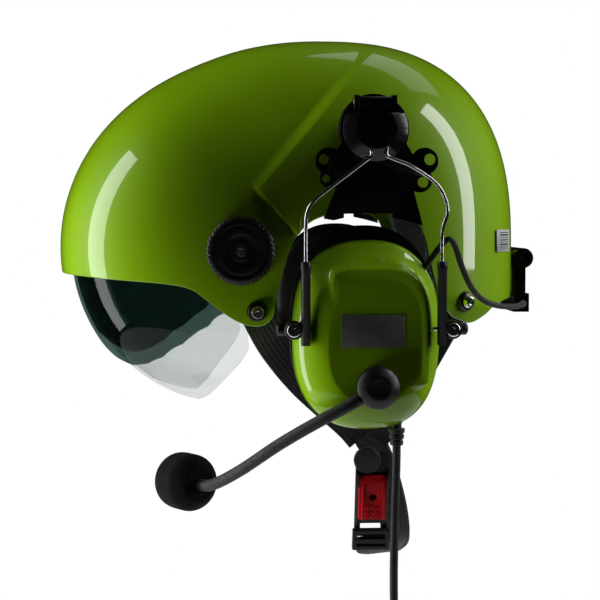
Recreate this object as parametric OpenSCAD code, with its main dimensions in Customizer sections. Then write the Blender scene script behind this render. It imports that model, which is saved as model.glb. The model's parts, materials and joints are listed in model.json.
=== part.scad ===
// Flight helmet with a built-in communication headset: shell with two visors,
// two swing-out ear cups, a boom microphone, a chin strap and a short downlead.
// Millimetres. The wearer looks along -Y, the wearer's left is +X, up is +Z.
// The origin lies midway between the two ear cups.

/* [Shell] */
// Half width of the dome
dome_half_w = 108; // [100:1:120]
// Reach of the dome behind the ear line
dome_rear = 126; // [116:1:140]
// Height of the dome above its centre
dome_up = 136; // [126:1:150]
// Radius of the visor housing about the knobs
housing_r = 113; // [110:0.5:124]
// Half width of the visor housing
housing_half_w = 112; // [106:1:120]
// Wall of the moulded shell
shell_wall = 3; // [2:0.5:5]

/* [Visors] */
// Radius of the clear visor about the knobs
clear_r = 102; // [96:0.5:104]
// Radius of the tinted visor about the knobs
tint_r = 106; // [104:0.5:107]
// Thickness of both visor sheets
visor_t = 2; // [1.5:0.1:2.5]
// Diameter of the knurled visor knobs
knob_d = 41; // [32:1:46]
// Height of the visor knobs
knob_h = 7; // [4:0.5:10]

/* [Ear cups] */
// Width of a green ear cup shell
cup_w = 88; // [78:1:90]
// Height of a green ear cup shell
cup_h = 113; // [96:1:115]
// Height of the black back plate
plate_h = 125; // [110:1:127]
// Width of the black back plate
plate_w = 90; // [80:1:91]
// Depth of the green cup shell
cup_depth = 36; // [28:1:40]
// Thickness of the sealing cushion
cushion_t = 13; // [8:1:16]
// Diameter of the spring wire of the yoke
wire_d = 2.2; // [1.8:0.1:3]
// Outer diameter of the wire sleeves
sleeve_d = 5.6; // [5:0.1:6.5]

/* [Microphone] */
// Diameter of the boom tube
boom_d = 7.5; // [5:0.5:9]
// Diameter of the foam windshield
foam_d = 38; // [28:1:44]

/* [Strap and cords] */
// Width of the chin strap webbing
web_w = 20; // [15:1:25]
// Thickness of the webbing
web_t = 1.6; // [1:0.1:2.5]
// Diameter of the downlead
cord_d = 5; // [4:0.5:7]
// Diameter of the lead between the cups
lead_d = 3.6; // [2.5:0.1:5]
// Length of the downlead below the cup
cord_len = 205; // [170:5:250]

/* [Hidden] */
$fn = 48;
green = [0.45, 0.66, 0.1];
black = [0.07, 0.07, 0.08];
steel = [0.75, 0.76, 0.78];
soft = [0.12, 0.12, 0.13];
c_y = -20;
c_z = 45;
k_y = -75;
k_z = 47;
cup_y = -0.2;
cup_z = -3;
pad_z = 0.5;
face_y = 1.9;
face_z = -7.5;
cup_x0 = 96;
cup_x1 = cup_x0 + cup_depth;
hub_y = 3.5;
hub_z = 118.5;
wire_x = 129;
lug_x = 120;
yl = -37.6;
yr = 42.4;

// ---- shape of the shell, as a solid function ----
function ss(a, b, v) = let (t = max(0, min(1, (v - a) / (b - a)))) t * t * (3 - 2 * t);
function ridge(y, z) = ss(-2, 6, ((y + 69) * 53 - (z - 86) * 46) / 70.2);
function heel(y, z) = ss(-0.5, 1.5, ((y + 69) * 25 + (z - 86) * 23) / 34);
function half_w(y, z) = dome_half_w + 5.5 * ridge(y, z) * heel(y, z);
function dome_q(y) = y < c_y ? 2.12 : 2.59;
function dome_r(y, z) = let (
    q = dome_q(y),
    a = y < c_y ? 157 : dome_rear,
    b = z > c_z ? dome_up : 200
  ) pow(pow(abs(y - c_y) / a, q) + pow(abs(z - c_z) / b, q), 1 / q);
function dome_f(x, y, z) =
  120 * (pow(pow(abs(x) / half_w(y, z), 2.15) + pow(dome_r(y, z), 2.15), 1 / 2.15) - 1);
function housing_f(x, y, z) =
  110 * (pow(pow(abs(x) / housing_half_w, 2.3)
  + pow(norm([y - k_y, z - k_z]) / housing_r, 2.3), 1 / 2.3) - 1);
function blend(a, b, k) = let (h = max(k - abs(a - b), 0) / k) min(a, b) - h * h * k / 4;
function shell_f(p) = blend(dome_f(p.x, p.y, p.z), housing_f(p.x, p.y, p.z), 10);
function seek(o, d, lo, hi, n) =
  n == 0 ? (lo + hi) / 2
  : let (m = (lo + hi) / 2)
    shell_f(o + d * m) < 0 ? seek(o, d, m, hi, n - 1) : seek(o, d, lo, m, n - 1);
mid = [0, c_y, c_z];
function egg(d, a, f, r, u, w) = 1 / sqrt(pow(d.x / a, 2)
  + pow(d.y / (d.y < 0 ? f : r), 2) + pow(d.z / (d.z > 0 ? u : w), 2));
// kinds: 0 shell outside, 1 shell inside, 2 liner outside, 3 head space, 4 pad face
function reach(kind, d) =
  kind == 3 ? egg(d, 84, 90, 112, 106, 150)
  : kind == 4 ? egg(d, 77, 83, 105, 98, 150)
  : let (s = seek(mid, d, 40, 260, 15))
    kind == 0 ? s
    : kind == 1 ? s - shell_wall - 0.2
    : min(s - shell_wall - 0.2 - 1, egg(d, 140, 112, 150, 150, 400));
function way(az, el) = [cos(el) * sin(az), -cos(el) * cos(az), sin(el)];

// closed body from a grid of rays about the middle of the dome
module grid(kind, na, ne, el0) {
  rows = [for (i = [0 : ne - 1]) for (j = [0 : na - 1])
    let (d = way(360 * j / na, el0 + (90 - el0) * i / ne)) mid + d * reach(kind, d)];
  top = mid + [0, 0, 1] * reach(kind, [0, 0, 1]);
  base = [0, c_y, rows[0].z];
  pts = concat(rows, [top, base]);
  sides = [for (i = [0 : ne - 2]) for (j = [0 : na - 1])
    let (a = i * na + j, b = i * na + (j + 1) % na)
    each [[a, a + na, b], [b, a + na, b + na]]];
  cap = [for (j = [0 : na - 1]) [(ne - 1) * na + j, na * ne, (ne - 1) * na + (j + 1) % na]];
  foot = [for (j = [0 : na - 1]) [j, (j + 1) % na, na * ne + 1]];
  polyhedron(points = pts, faces = concat(sides, cap, foot), convexity = 6);
}

// places children on the outside of the shell, local +Z pointing outward
function side_x(y, z) = seek([0, y, z], [1, 0, 0], 5, 130, 15);
function slope(p) = [shell_f(p + [0.2, 0, 0]) - shell_f(p - [0.2, 0, 0]),
  shell_f(p + [0, 0.2, 0]) - shell_f(p - [0, 0.2, 0]),
  shell_f(p + [0, 0, 0.2]) - shell_f(p - [0, 0, 0.2])];
module on_shell(y, z, up = 0) {
  p = [side_x(y, z), y, z];
  n = slope(p) / norm(slope(p));
  translate(p + n * up)
    rotate([0, acos(n.z), atan2(n.y, n.x)])
      children();
}

// closed body through rounded cross-sections stacked along X:
// each section is [x, half width, half height, y middle, z middle, roundness]
function ring(s, n) = [for (j = [0 : n - 1])
  let (a = 360 * j / n, c = cos(a), v = sin(a))
  [s[0], s[3] + s[1] * sign(c) * pow(abs(c), 2 / s[5]),
   s[4] + s[2] * sign(v) * pow(abs(v), 2 / s[5])]];
module stack(secs, n = 40) {
  m = len(secs);
  pts = concat([for (s = secs) each ring(s, n)],
    [[secs[0][0], secs[0][3], secs[0][4]], [secs[m - 1][0], secs[m - 1][3], secs[m - 1][4]]]);
  wall = [for (i = [0 : m - 2]) for (j = [0 : n - 1])
    let (a = i * n + j, b = i * n + (j + 1) % n)
    each [[a, a + n, b], [b, a + n, b + n]]];
  ends = [for (j = [0 : n - 1]) each [[j, (j + 1) % n, m * n],
    [(m - 1) * n + (j + 1) % n, (m - 1) * n + j, m * n + 1]]];
  polyhedron(points = pts, faces = concat(wall, ends), convexity = 4);
}

// round tube through hand-placed points, smoothed
function spline(p, i, t) = let (
    n = len(p) - 1,
    a = p[max(i - 1, 0)], b = p[i], c = p[min(i + 1, n)], d = p[min(i + 2, n)]
  ) 0.5 * (2 * b + (c - a) * t + (2 * a - 5 * b + 4 * c - d) * t * t
    + (3 * b - a - 3 * c + d) * t * t * t);
function smooth(p, k) = concat([for (i = [0 : len(p) - 2]) for (j = [0 : k - 1])
  spline(p, i, j / k)], [p[len(p) - 1]]);
function unit(v) = v / norm(v);
function ahead(p, i) = unit(p[min(i + 1, len(p) - 1)] - p[max(i - 1, 0)]);
module tube(points, d, k = 4, n = 10, flat = 1, side = [0, 1, 0]) {
  p = smooth(points, k);
  m = len(p);
  pts = concat([for (i = [0 : m - 1])
    let (t = ahead(p, i), u = unit(side - t * (side * t)), w = cross(t, u))
    for (j = [0 : n - 1]) p[i] + (u * cos(360 * j / n) + w * sin(360 * j / n) * flat) * d / 2],
    [p[0], p[m - 1]]);
  wall = [for (i = [0 : m - 2]) for (j = [0 : n - 1])
    let (a = i * n + j, b = i * n + (j + 1) % n)
    each [[a, b, a + n], [b, b + n, a + n]]];
  ends = [for (j = [0 : n - 1]) each [[(j + 1) % n, j, m * n],
    [(m - 1) * n + j, (m - 1) * n + (j + 1) % n, m * n + 1]]];
  polyhedron(points = pts, faces = concat(wall, ends), convexity = 6);
}
// flat webbing through hand-placed points, its width lying along side
module web(points, side, w = web_w, t = web_t, k = 5) {
  p = smooth(points, k);
  m = len(p);
  pts = [for (i = [0 : m - 1])
    let (f = ahead(p, i), u = unit(side - f * (side * f)), v = cross(f, u))
    each [p[i] + u * w / 2 + v * t / 2, p[i] - u * w / 2 + v * t / 2,
          p[i] - u * w / 2 - v * t / 2, p[i] + u * w / 2 - v * t / 2]];
  wall = [for (i = [0 : m - 2]) for (j = [0 : 3])
    let (a = i * 4 + j, b = i * 4 + (j + 1) % 4)
    each [[a, a + 4, b], [b, a + 4, b + 4]]];
  e = (m - 1) * 4;
  ends = [[0, 1, 2], [0, 2, 3], [e, e + 2, e + 1], [e, e + 3, e + 2]];
  polyhedron(points = pts, faces = concat(wall, ends), convexity = 6);
}

// lower rim of the shell in side view, front to back
rim = [[-260, 33], [-189, 32], [-150, 30], [-120, 28], [-105, 25], [-96, 19], [-87, 12],
  [-78, 6], [-70, 3], [-62, 3], [-56, 8], [-54, 17], [-52, 26], [-49, 38], [-45, 50],
  [-39, 60], [-30, 67], [-15, 70], [20, 70], [28, 69], [33, 64], [37, 53], [40, 41],
  [44, 27], [49, 15], [54, 8], [60, 5], [68, 3], [78, 7], [88, 13], [105, 16], [150, 17]];
module below_rim(lift = 0) {
  translate([-150, 0, lift])
    rotate([90, 0, 90])
      linear_extrude(300)
        polygon(concat(rim, [[150, -300], [-260, -300]]));
}
module both() {
  children();
  mirror([1, 0, 0])
    children();
}
module across(x0, x1) {
  translate([x0, 0, 0])
    rotate([90, 0, 90])
      linear_extrude(x1 - x0)
        children();
}

// ---- shell and liner ----
module outer_shell() {
  color(green)
  difference() {
    grid(0, 84, 30, -42);
    grid(1, 48, 18, -50);
    below_rim();
    both() {
      translate([90, k_y, k_z])
        rotate([0, 90, 0])
          cylinder(d = 10.6, h = 40);
      on_shell(-65, 11, -12)
        cylinder(d = 5.4, h = 20);
      on_shell(63, 15.4, -12)
        cylinder(d = 5.4, h = 20);
      translate([70, hub_y, hub_z])
        rotate([0, 90, 0])
          cylinder(d = 6.4, h = 40);
    }
  }
}
module visor_room() {
  translate([0, k_y, k_z])
    rotate([0, 90, 0])
      rotate([0, 0, -175])
        rotate_extrude(angle = 186)
          polygon(concat(arc2(housing_r + 12, housing_half_w + 8),
            [for (i = [12 : -1 : -12]) [(clear_r - visor_t - 2) * pow(cos(i * 7), 2 / 2.7),
              (88 - visor_t - 1.5) * sign(i) * pow(abs(sin(i * 7)), 2 / 2.7)]]));
}
function arc2(r, x) = [for (i = [-12 : 12]) [r * pow(cos(i * 7), 2 / 2.7),
  x * sign(i) * pow(abs(sin(i * 7)), 2 / 2.7)]];
module inner_liner() {
  color(soft)
  difference() {
    grid(2, 44, 16, -20);
    grid(3, 36, 12, -60);
    below_rim(18);
    visor_room();
    both() {
      translate([83.5, k_y, k_z])
        rotate([0, 90, 0])
          cylinder(d = 56, h = 60);
      translate([60, hub_y, hub_z])
        rotate([0, 90, 0])
          cylinder(d = 16, h = 60);
    }
  }
}
module pad_layer() {
  difference() {
    intersection() {
      difference() {
        grid(3, 36, 12, -60);
        grid(4, 36, 12, -62);
      }
      children();
    }
    below_rim(12);
  }
}
module fit_pads() {
  color(black)
  pad_layer() {
    translate([-70, -150, 44])
      cube([140, 75, 34]);
    translate([-45, -60, 100])
      cube([90, 110, 80]);
    translate([-55, 55, 26])
      cube([110, 60, 40]);
  }
}

// ---- visors ----
module visor_sheet(r, x, a0, a1) {
  translate([0, k_y, k_z])
    rotate([0, 90, 0])
      rotate([0, 0, -90 - a1])
        rotate_extrude(angle = a1 - a0)
          polygon(concat(arc2(r, x),
            [for (i = [12 : -1 : -12]) [(r - visor_t) * pow(cos(i * 7), 2 / 2.7),
              (x - visor_t) * sign(i) * pow(abs(sin(i * 7)), 2 / 2.7)]]));
}
module front_cut(curve) {
  pts = concat([[-130, -200]], [for (i = [len(curve) - 1 : -1 : 0]) [-curve[i][0], curve[i][1]]],
    curve, [[130, -200]]);
  translate([0, -20, 0])
    rotate([90, 0, 0])
      linear_extrude(220)
        polygon(pts);
}
clear_edge = [[6, -39], [16, -44], [27, -49], [38, -50], [104, -50]];
clear_side = [[-112, -60], [-98, -48.6], [-92.6, -44.9], [-86, -37], [-79.6, -29.4], [-73, -21.5],
  [-69, -14], [-66.5, -4], [-64, 10], [-60, 22]];
tint_edge = [[8, -7], [22, -14], [36, -22], [50, -26], [62, -24], [72, -19], [81, -10],
  [84, -5], [87, 1], [90, 12], [104, 30]];
module side_cut(curve) {
  translate([-120, 0, 0])
    rotate([90, 0, 90])
      linear_extrude(240)
        polygon(concat(curve, [[-20, 22], [-20, -90], [-112, -90]]));
}
module ear_disc(x, hole) {
  translate([x - visor_t, k_y, k_z])
    rotate([0, 90, 0])
      difference() {
        cylinder(r = 23, h = visor_t);
        translate([0, 0, -1])
          cylinder(d = hole, h = visor_t + 2);
      }
}
module visor_clear() {
  color([0.8, 0.85, 0.86])
  union() {
    difference() {
      visor_sheet(clear_r, 88, -96, 8);
      front_cut(clear_edge);
      side_cut(clear_side);
    }
    ear_disc(88, 10.1);
    mirror([1, 0, 0])
      ear_disc(88, 10);
  }
}
module visor_tint() {
  color([0.12, 0.16, 0.18])
  union() {
    difference() {
      visor_sheet(tint_r, 91.5, -84, 11);
      front_cut(tint_edge);
    }
    ear_disc(91.5, 10);
    mirror([1, 0, 0])
      ear_disc(91.5, 10.1);
  }
}
module knob() {
  difference() {
    union() {
      translate([housing_half_w + 0.6, k_y, k_z])
        rotate([0, 90, 0])
          linear_extrude(knob_h - 1.4)
            polygon([for (i = [0 : 79]) let (r = knob_d / 2 - (i % 2) * 0.9)
              [r * cos(i * 4.5), r * sin(i * 4.5)]]);
      translate([housing_half_w + knob_h - 0.8, k_y, k_z])
        rotate([0, 90, 0])
          cylinder(r1 = knob_d / 2 - 1.2, r2 = knob_d / 2 - 3.4, h = 1.4);
    }
    translate([housing_half_w + knob_h - 2.4, k_y, k_z])
      rotate([0, 90, 0])
        cylinder(d = 6.4, h = 4);
  }
  translate([84.5, k_y, k_z])
    rotate([0, 90, 0])
      cylinder(d = 10, h = housing_half_w + 2 - 84.5);
}
module knob_left() {
  color(black)
  knob();
}
module knob_right() {
  color(black)
  mirror([1, 0, 0])
    knob();
}
module knob_screw() {
  translate([housing_half_w + knob_h - 2.4, k_y, k_z])
    rotate([0, 90, 0])
      difference() {
        cylinder(d = 6.2, h = 2.2);
        translate([0, 0, 1.1])
          cylinder(d = 3, h = 3, $fn = 6);
      }
}
module knob_screw_left() {
  color(steel)
  knob_screw();
}
module knob_screw_right() {
  color(steel)
  mirror([1, 0, 0])
    knob_screw();
}
module pivot_bushes() {
  color(black)
  both()
    translate([92.5, k_y, k_z])
      rotate([0, 90, 0])
        difference() {
          union() {
            cylinder(d = 16, h = 15);
            translate([0, 0, 13.4])
              cylinder(d = 24, h = 1.6);
          }
          translate([0, 0, -1])
            cylinder(d = 10.16, h = 20);
        }
}

// ---- chin strap anchors ----
module anchor_washers() {
  color(black)
  both() {
    for (p = [[-65, 11], [63, 15.4]])
      on_shell(p[0], p[1], 0.1)
        difference() {
          cylinder(d1 = 13, d2 = 10.5, h = 2.4);
          translate([0, 0, -1])
            cylinder(d = 5.4, h = 5);
        }
  }
}
module anchor_bolts() {
  color(steel)
  both() {
    for (p = [[-65, 11], [63, 15.4]])
      on_shell(p[0], p[1], -8)
        difference() {
          union() {
            cylinder(d = 5, h = 10.6);
            translate([0, 0, 10.6])
              cylinder(d1 = 8.4, d2 = 6.4, h = 2.4);
          }
          translate([0, 0, 11.4])
            cylinder(d = 3, h = 3, $fn = 6);
        }
  }
}

// ---- ear cup arms, drawn for the left side ----
module plate_shape() {
  difference() {
    union() {
      translate([hub_y, hub_z])
        circle(r = 21);
      polygon([[-15, 112], [22, 112], [28, 102], [27, 84], [33, 62], [22, 65], [15, 66.5],
        [15, 69], [-14, 69], [-14, 66.5], [-20, 65], [-26, 66], [-19, 84], [-20, 104]]);
      translate([-23, 100])
        circle(r = 8);
      translate([-22, 90])
        circle(r = 6.5);
      translate([34, 100])
        circle(r = 8);
      translate([31, 89])
        circle(r = 7.5);
    }
    translate([-26, 101])
      circle(r = 3);
    translate([-24.5, 89.5])
      circle(r = 2.4);
    translate([37, 101])
      circle(r = 3.4);
    translate([33, 87.5])
      circle(r = 3.2);
    translate([hub_y, hub_z])
      circle(r = 3.2);
  }
}
module arm_mount() {
  difference() {
    union() {
      across(112.4, 115.3)
        plate_shape();
      difference() {
        translate([84, hub_y, hub_z])
          rotate([0, 90, 0])
            cylinder(r = 14, h = 29);
        on_shell(hub_y, hub_z, 0.15)
          translate([-30, -30, -60])
            cube([60, 60, 60]);
      }
      difference() {
        translate([105, -11, 73])
          cube([8, 29, 12]);
        on_shell(hub_y, 79, 0.15)
          translate([-30, -30, -60])
            cube([60, 60, 60]);
      }
    }
    translate([60, hub_y, hub_z])
      rotate([0, 90, 0])
        cylinder(d = 6.4, h = 80);
  }
}
module arm_mount_left() {
  color(black)
  arm_mount();
}
module arm_mount_right() {
  color(black)
  mirror([1, 0, 0])
    arm_mount();
}
module mount_bolts() {
  color(steel)
  both()
    translate([80, hub_y, hub_z])
      rotate([0, 90, 0])
        union() {
          cylinder(d = 12, h = 2);
          cylinder(d = 6, h = 38.8);
        }
}
hinge_x = 123;
hinge_z = 134;
module hub() {
  difference() {
    union() {
      translate([115.6, hub_y, hub_z])
        rotate([0, 90, 0])
          cylinder(r = 20.5, h = 3.6);
      for (y = [-12.5, 9.5])
        translate([115.6, y + hub_y, 129.5])
          cube([11.2, 3, 8.5]);
    }
    translate([100, hub_y, hub_z])
      rotate([0, 90, 0])
        cylinder(d = 6.1, h = 30);
    translate([hinge_x, -20, hinge_z])
      rotate([-90, 0, 0])
        cylinder(d = 3, h = 50);
  }
}
module hub_left() {
  color(black)
  hub();
}
module hub_right() {
  color(black)
  mirror([1, 0, 0])
    hub();
}
module hinge_pin() {
  translate([hinge_x, hub_y - 12.8, hinge_z])
    rotate([-90, 0, 0])
      cylinder(d = 3, h = 25.6);
}
module hinge_pin_left() {
  color(steel)
  hinge_pin();
}
module hinge_pin_right() {
  color(steel)
  mirror([1, 0, 0])
    hinge_pin();
}
module yoke_block() {
  difference() {
    union() {
      translate([hinge_x, hub_y - 9.2, hinge_z])
        rotate([-90, 0, 0])
          cylinder(r = 3.4, h = 18.4);
      translate([hinge_x - 2.6, hub_y - 9.2, 126])
        cube([5.2, 18.4, 8]);
      difference() {
        union() {
          translate([120, hub_y, hub_z])
            rotate([0, 90, 0])
              cylinder(r = 19, h = 6);
          translate([126, hub_y, hub_z])
            rotate([0, 90, 0])
              cylinder(r1 = 19, r2 = 12, h = 4.6);
        }
        translate([119, -20, 127.5])
          cube([14, 50, 12]);
      }
    }
    translate([hinge_x, -20, hinge_z])
      rotate([-90, 0, 0])
        cylinder(d = 3.1, h = 50);
    translate([127.6, hub_y, hub_z + 2])
      rotate([0, 90, 0])
        cylinder(d = 4, h = 10);
    for (y = [0.5, 9.5])
      translate([wire_x, y, 96])
        cylinder(d = wire_d + 0.7, h = 17.5);
  }
}
module yoke_wires(d) {
  tube([[wire_x, 0.5, 113], [wire_x, 0.5, 107], [wire_x, 0.5, 102.5], [wire_x, -5, 98],
    [wire_x, -20, 86.5], [wire_x, -32, 77], [wire_x, -36.5, 70.5], [wire_x, yl, 60],
    [wire_x, yl, 30], [wire_x, yl, -2]], d, 4, 8, 1, [1, 0, 0]);
  tube([[wire_x, 9.5, 113], [wire_x, 9.5, 107], [wire_x, 9.7, 102.8], [wire_x, 14, 100.5],
    [wire_x, 24, 96.5], [wire_x, 37, 88], [wire_x, 43, 80], [wire_x, 45.5, 70],
    [wire_x, yr, 58], [wire_x, yr, 30], [wire_x, yr, -2]], d, 4, 8, 1, [1, 0, 0]);
}
module yoke_block_left() {
  color(black)
  yoke_block();
}
module yoke_block_right() {
  color(black)
  mirror([1, 0, 0])
    yoke_block();
}
module yoke_wires_left() {
  color(steel)
  yoke_wires(wire_d);
}
module yoke_wires_right() {
  color(steel)
  mirror([1, 0, 0])
    yoke_wires(wire_d);
}
lug_in = cup_w / 2 + 0.6;
clamp_y = [cup_y - lug_in + 0.4, cup_y + lug_in + 4.6];
module slider(y, s) {
  far = cup_y + s * (lug_in + 9.4);
  near = cup_y + s * lug_in;
  difference() {
    union() {
      translate([wire_x, y, -8])
        cylinder(d = sleeve_d, h = 49);
      translate([lug_x - 5, min(far, near), -5])
        cube([wire_x - lug_x + 5, 9.4, 12]);
      translate([wire_x - 3, min(far, y), -5])
        cube([3, abs(far - y), 12]);
    }
    translate([wire_x, y, -9])
      cylinder(d = wire_d + 0.3, h = 60);
    translate([lug_x, cup_y + s * 60, 1])
      rotate([90 * s, 0, 0])
        cylinder(d = 3, h = 30);
    translate([wire_x - 3, clamp_y[s < 0 ? 0 : 1], 1])
      rotate([0, 90, 0])
        cylinder(d = 3, h = 10);
  }
}
module sliders() {
  slider(yl, -1);
  slider(yr, 1);
}
module sliders_left() {
  color(black)
  sliders();
}
module sliders_right() {
  color(black)
  mirror([1, 0, 0])
    sliders();
}
module slider_screws() {
  for (y = clamp_y)
    translate([wire_x - 3, y, 1])
      rotate([0, 90, 0])
        difference() {
          union() {
            cylinder(d = 3, h = 3.1);
            translate([0, 0, 3.04])
              cylinder(d1 = 7.4, d2 = 5.8, h = 2);
          }
          translate([0, 0, 3.9])
            cylinder(d = 2.6, h = 3, $fn = 6);
        }
}
module slider_screws_left() {
  color(steel)
  slider_screws();
}
module slider_screws_right() {
  color(steel)
  mirror([1, 0, 0])
    slider_screws();
}
module tilt_pins() {
  for (s = [-1, 1])
    translate([lug_x, cup_y + s * (lug_in + 7), 1])
      rotate([90 * s, 0, 0])
        cylinder(d = 3, h = 13);
}
module tilt_pins_left() {
  color(steel)
  tilt_pins();
}
module tilt_pins_right() {
  color(steel)
  mirror([1, 0, 0])
    tilt_pins();
}

// ---- ear cups, drawn for the left side ----
module cup_body(t) {
  w = cup_w / 2 - t;
  h = cup_h / 2 - t;
  e = cup_depth;
  x = cup_x0;
  stack([[x - (t > 0 ? 1 : 0), w - 3.4, h - 3.4, cup_y, cup_z, 2.5],
    [x + 0.12 * e, w - 0.8, h - 0.8, cup_y, cup_z, 2.5],
    [x + 0.25 * e, w, h, cup_y, cup_z, 2.5],
    [x + 0.44 * e, w - 0.4, h - 0.4, cup_y, cup_z, 2.5],
    [x + 0.54 * e, w - 2.2, h - 2.2, cup_y, cup_z, 2.6],
    [x + 0.64 * e, w - 5.2, h - 5.4, cup_y + 0.6, cup_z - 1, 2.7],
    [x + 0.76 * e, w - 8, h - 8.8, cup_y + 1.4, cup_z - 2.6, 3],
    [x + 0.86 * e - t, w - 9.2, h - 10.8, face_y, face_z + 0.6, 3.3],
    [x + 0.94 * e - t, w - 10.6, h - 12.6, face_y, face_z, 3.4],
    [x + e - t, w - 15, h - 18, face_y, face_z, 3.2]], 48);
}
module cup_shell(side) {
  difference() {
    cup_body(0);
    cup_body(2.4);
    for (s = [-1, 1])
      translate([lug_x, cup_y + s * 60, 1])
        rotate([90 * s, 0, 0])
          cylinder(d = 3.1, h = 30);
    if (side > 0) {
      translate([cord_x, cord_y, -70])
        cylinder(d = 6.1, h = 30);
      translate([120, boom_y, boom_z])
        rotate([0, 90, 0])
          cylinder(d = 8.1, h = 30);
    }
    translate([113, 33, 35.8])
      rotate([-38, 13, 0])
        cylinder(d = lead_d + 1.2, h = 20, center = true);
  }
}
boom_y = 4;
boom_z = -32;
module cup_shell_left() {
  color(green)
  cup_shell(1);
}
module cup_shell_right() {
  color(green)
  mirror([1, 0, 0])
    cup_shell(-1);
}
module cup_plate() {
  w = plate_w / 2;
  h = plate_h / 2;
  difference() {
    stack([[92.6, w - 0.6, h - 0.6, cup_y, pad_z, 2.3], [93.4, w, h, cup_y, pad_z, 2.3],
      [95.2, w, h, cup_y, pad_z, 2.3], [95.9, w - 0.6, h - 0.6, cup_y, pad_z, 2.3]], 48);
    stack([[90, 19, 29, cup_y, pad_z, 2.2], [99, 19, 29, cup_y, pad_z, 2.2]], 40);
  }
}
module cup_plate_left() {
  color(black)
  cup_plate();
}
module cup_plate_right() {
  color(black)
  mirror([1, 0, 0])
    cup_plate();
}
module cushion() {
  x = 92.5;
  t = cushion_t;
  w = plate_w / 2;
  h = plate_h / 2;
  difference() {
    stack([[x - t, w - 8, h - 9, cup_y, pad_z, 2.3], [x - 0.9 * t, w - 4, h - 4.6, cup_y, pad_z, 2.3],
      [x - 0.65 * t, w - 1.2, h - 1.6, cup_y, pad_z, 2.3], [x - 0.25 * t, w - 0.8, h - 1, cup_y, pad_z, 2.3],
      [x, w - 2, h - 2.4, cup_y, pad_z, 2.3]], 40);
    stack([[x - t - 1, 26, 42, cup_y, pad_z, 2.2], [x - 0.8 * t, 21.5, 35, cup_y, pad_z, 2.2],
      [x - 0.3 * t, 20, 32, cup_y, pad_z, 2.2], [x + 1, 20.5, 32.5, cup_y, pad_z, 2.2]], 40);
  }
}
module cushion_left() {
  color(soft)
  cushion();
}
module cushion_right() {
  color(soft)
  mirror([1, 0, 0])
    cushion();
}
module driver() {
  translate([95, cup_y, pad_z])
    rotate([0, 90, 0])
      difference() {
        union() {
          cylinder(d = 36, h = 3);
          translate([0, 0, 3])
            cylinder(d = 24, h = 5);
        }
        for (a = [0 : 60 : 300])
          rotate([0, 0, a])
            translate([10, 0, -1])
              cylinder(d = 3, h = 2.5);
      }
}
module driver_left() {
  color(black)
  driver();
}
module driver_right() {
  color(black)
  mirror([1, 0, 0])
    driver();
}
module damping_foam() {
  difference() {
  stack([[103.5, 34, 46, cup_y, cup_z, 2.5], [116, 34, 46, cup_y, cup_z, 2.5]], 32);
    translate([110, 18, -60])
      cube([20, 30, 30]);
    translate([100, boom_y, boom_z])
      rotate([0, 90, 0])
        cylinder(d = 18, h = 30);
  }
}
module damping_foam_left() {
  color(soft)
  damping_foam();
}
module damping_foam_right() {
  color(soft)
  mirror([1, 0, 0])
    damping_foam();
}
module rating_plate() {
  color([0.25, 0.26, 0.25])
  translate([cup_x1 + 0.05, -17, -9])
    cube([0.5, 37, 19]);
}

// ---- microphone boom ----
module boom_hub() {
  color(black)
  translate([cup_x1 - 6, boom_y, boom_z])
    rotate([0, 90, 0])
      union() {
        cylinder(d = 8, h = 7);
        translate([0, 0, 6.3])
          cylinder(d = 25, h = 7.6);
        translate([0, 0, 13.9])
          cylinder(d1 = 25, d2 = 14, h = 3.6);
      }
}
boom_path = [[136.7, -7, -38.8], [136.4, -16, -44], [132, -30, -52], [118, -52, -67],
  [96, -75, -86], [74, -91.3, -98], [60, -100, -100]];
module boom_tube() {
  color(black)
  tube(boom_path, boom_d, 4, 12);
}
module at_mic() {
  translate([60, -100, -100])
    rotate([0, -90, 32])
      children();
}
module mic_capsule() {
  color(black)
  at_mic()
    translate([0, 0, 0.1])
      cylinder(d = 11, h = 20);
}
module windshield() {
  color(soft)
  at_mic()
    difference() {
      union() {
        translate([0, 0, -3])
          cylinder(r1 = 11, r2 = foam_d / 2 - 1, h = 9);
        translate([0, 0, 6])
          cylinder(r = foam_d / 2 - 1, h = 17);
        translate([0, 0, 23])
          cylinder(r1 = foam_d / 2 - 1, r2 = foam_d / 2 - 6, h = 6);
      }
      translate([0, 0, -4])
        cylinder(d = 11.2, h = 24.3);
    }
}

// ---- downlead and plug ----
cord_x = 112;
cord_y = 18;
module cord_gland() {
  color(black)
  translate([cord_x, cord_y, -69.2])
    difference() {
      union() {
        cylinder(d1 = 8.4, d2 = 10, h = 10.2);
        cylinder(d = 6, h = 19);
      }
      translate([0, 0, -1])
        cylinder(d = cord_d + 0.1, h = 9);
    }
}
module downlead() {
  color(black)
  tube([for (p = [[0, 0, 0.01], [0, 0, 0.09], [-0.8, -0.8, 0.26], [-1.6, -1.2, 0.45],
      [-1.4, -0.4, 0.64], [-0.6, 0.5, 0.82], [0, 0, 0.93], [0, 0, 1]])
    [cord_x + p.x, cord_y + p.y, -60 - p.z * cord_len]], cord_d, 4, 10);
}
plug_z = -60 - cord_len;
module plug_body() {
  color(black)
  translate([cord_x, cord_y, plug_z])
    rotate([180, 0, 0])
      difference() {
        union() {
          translate([0, 0, -12])
            cylinder(d1 = 7.6, d2 = 12, h = 12);
          cylinder(d = 15, h = 34);
          translate([0, 0, 34])
            cylinder(d1 = 15, d2 = 12, h = 4);
        }
        translate([0, 0, -13])
          cylinder(d = cord_d + 0.1, h = 13.5);
        translate([0, 0, 30])
          cylinder(d = 5.1, h = 10);
      }
}
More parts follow.
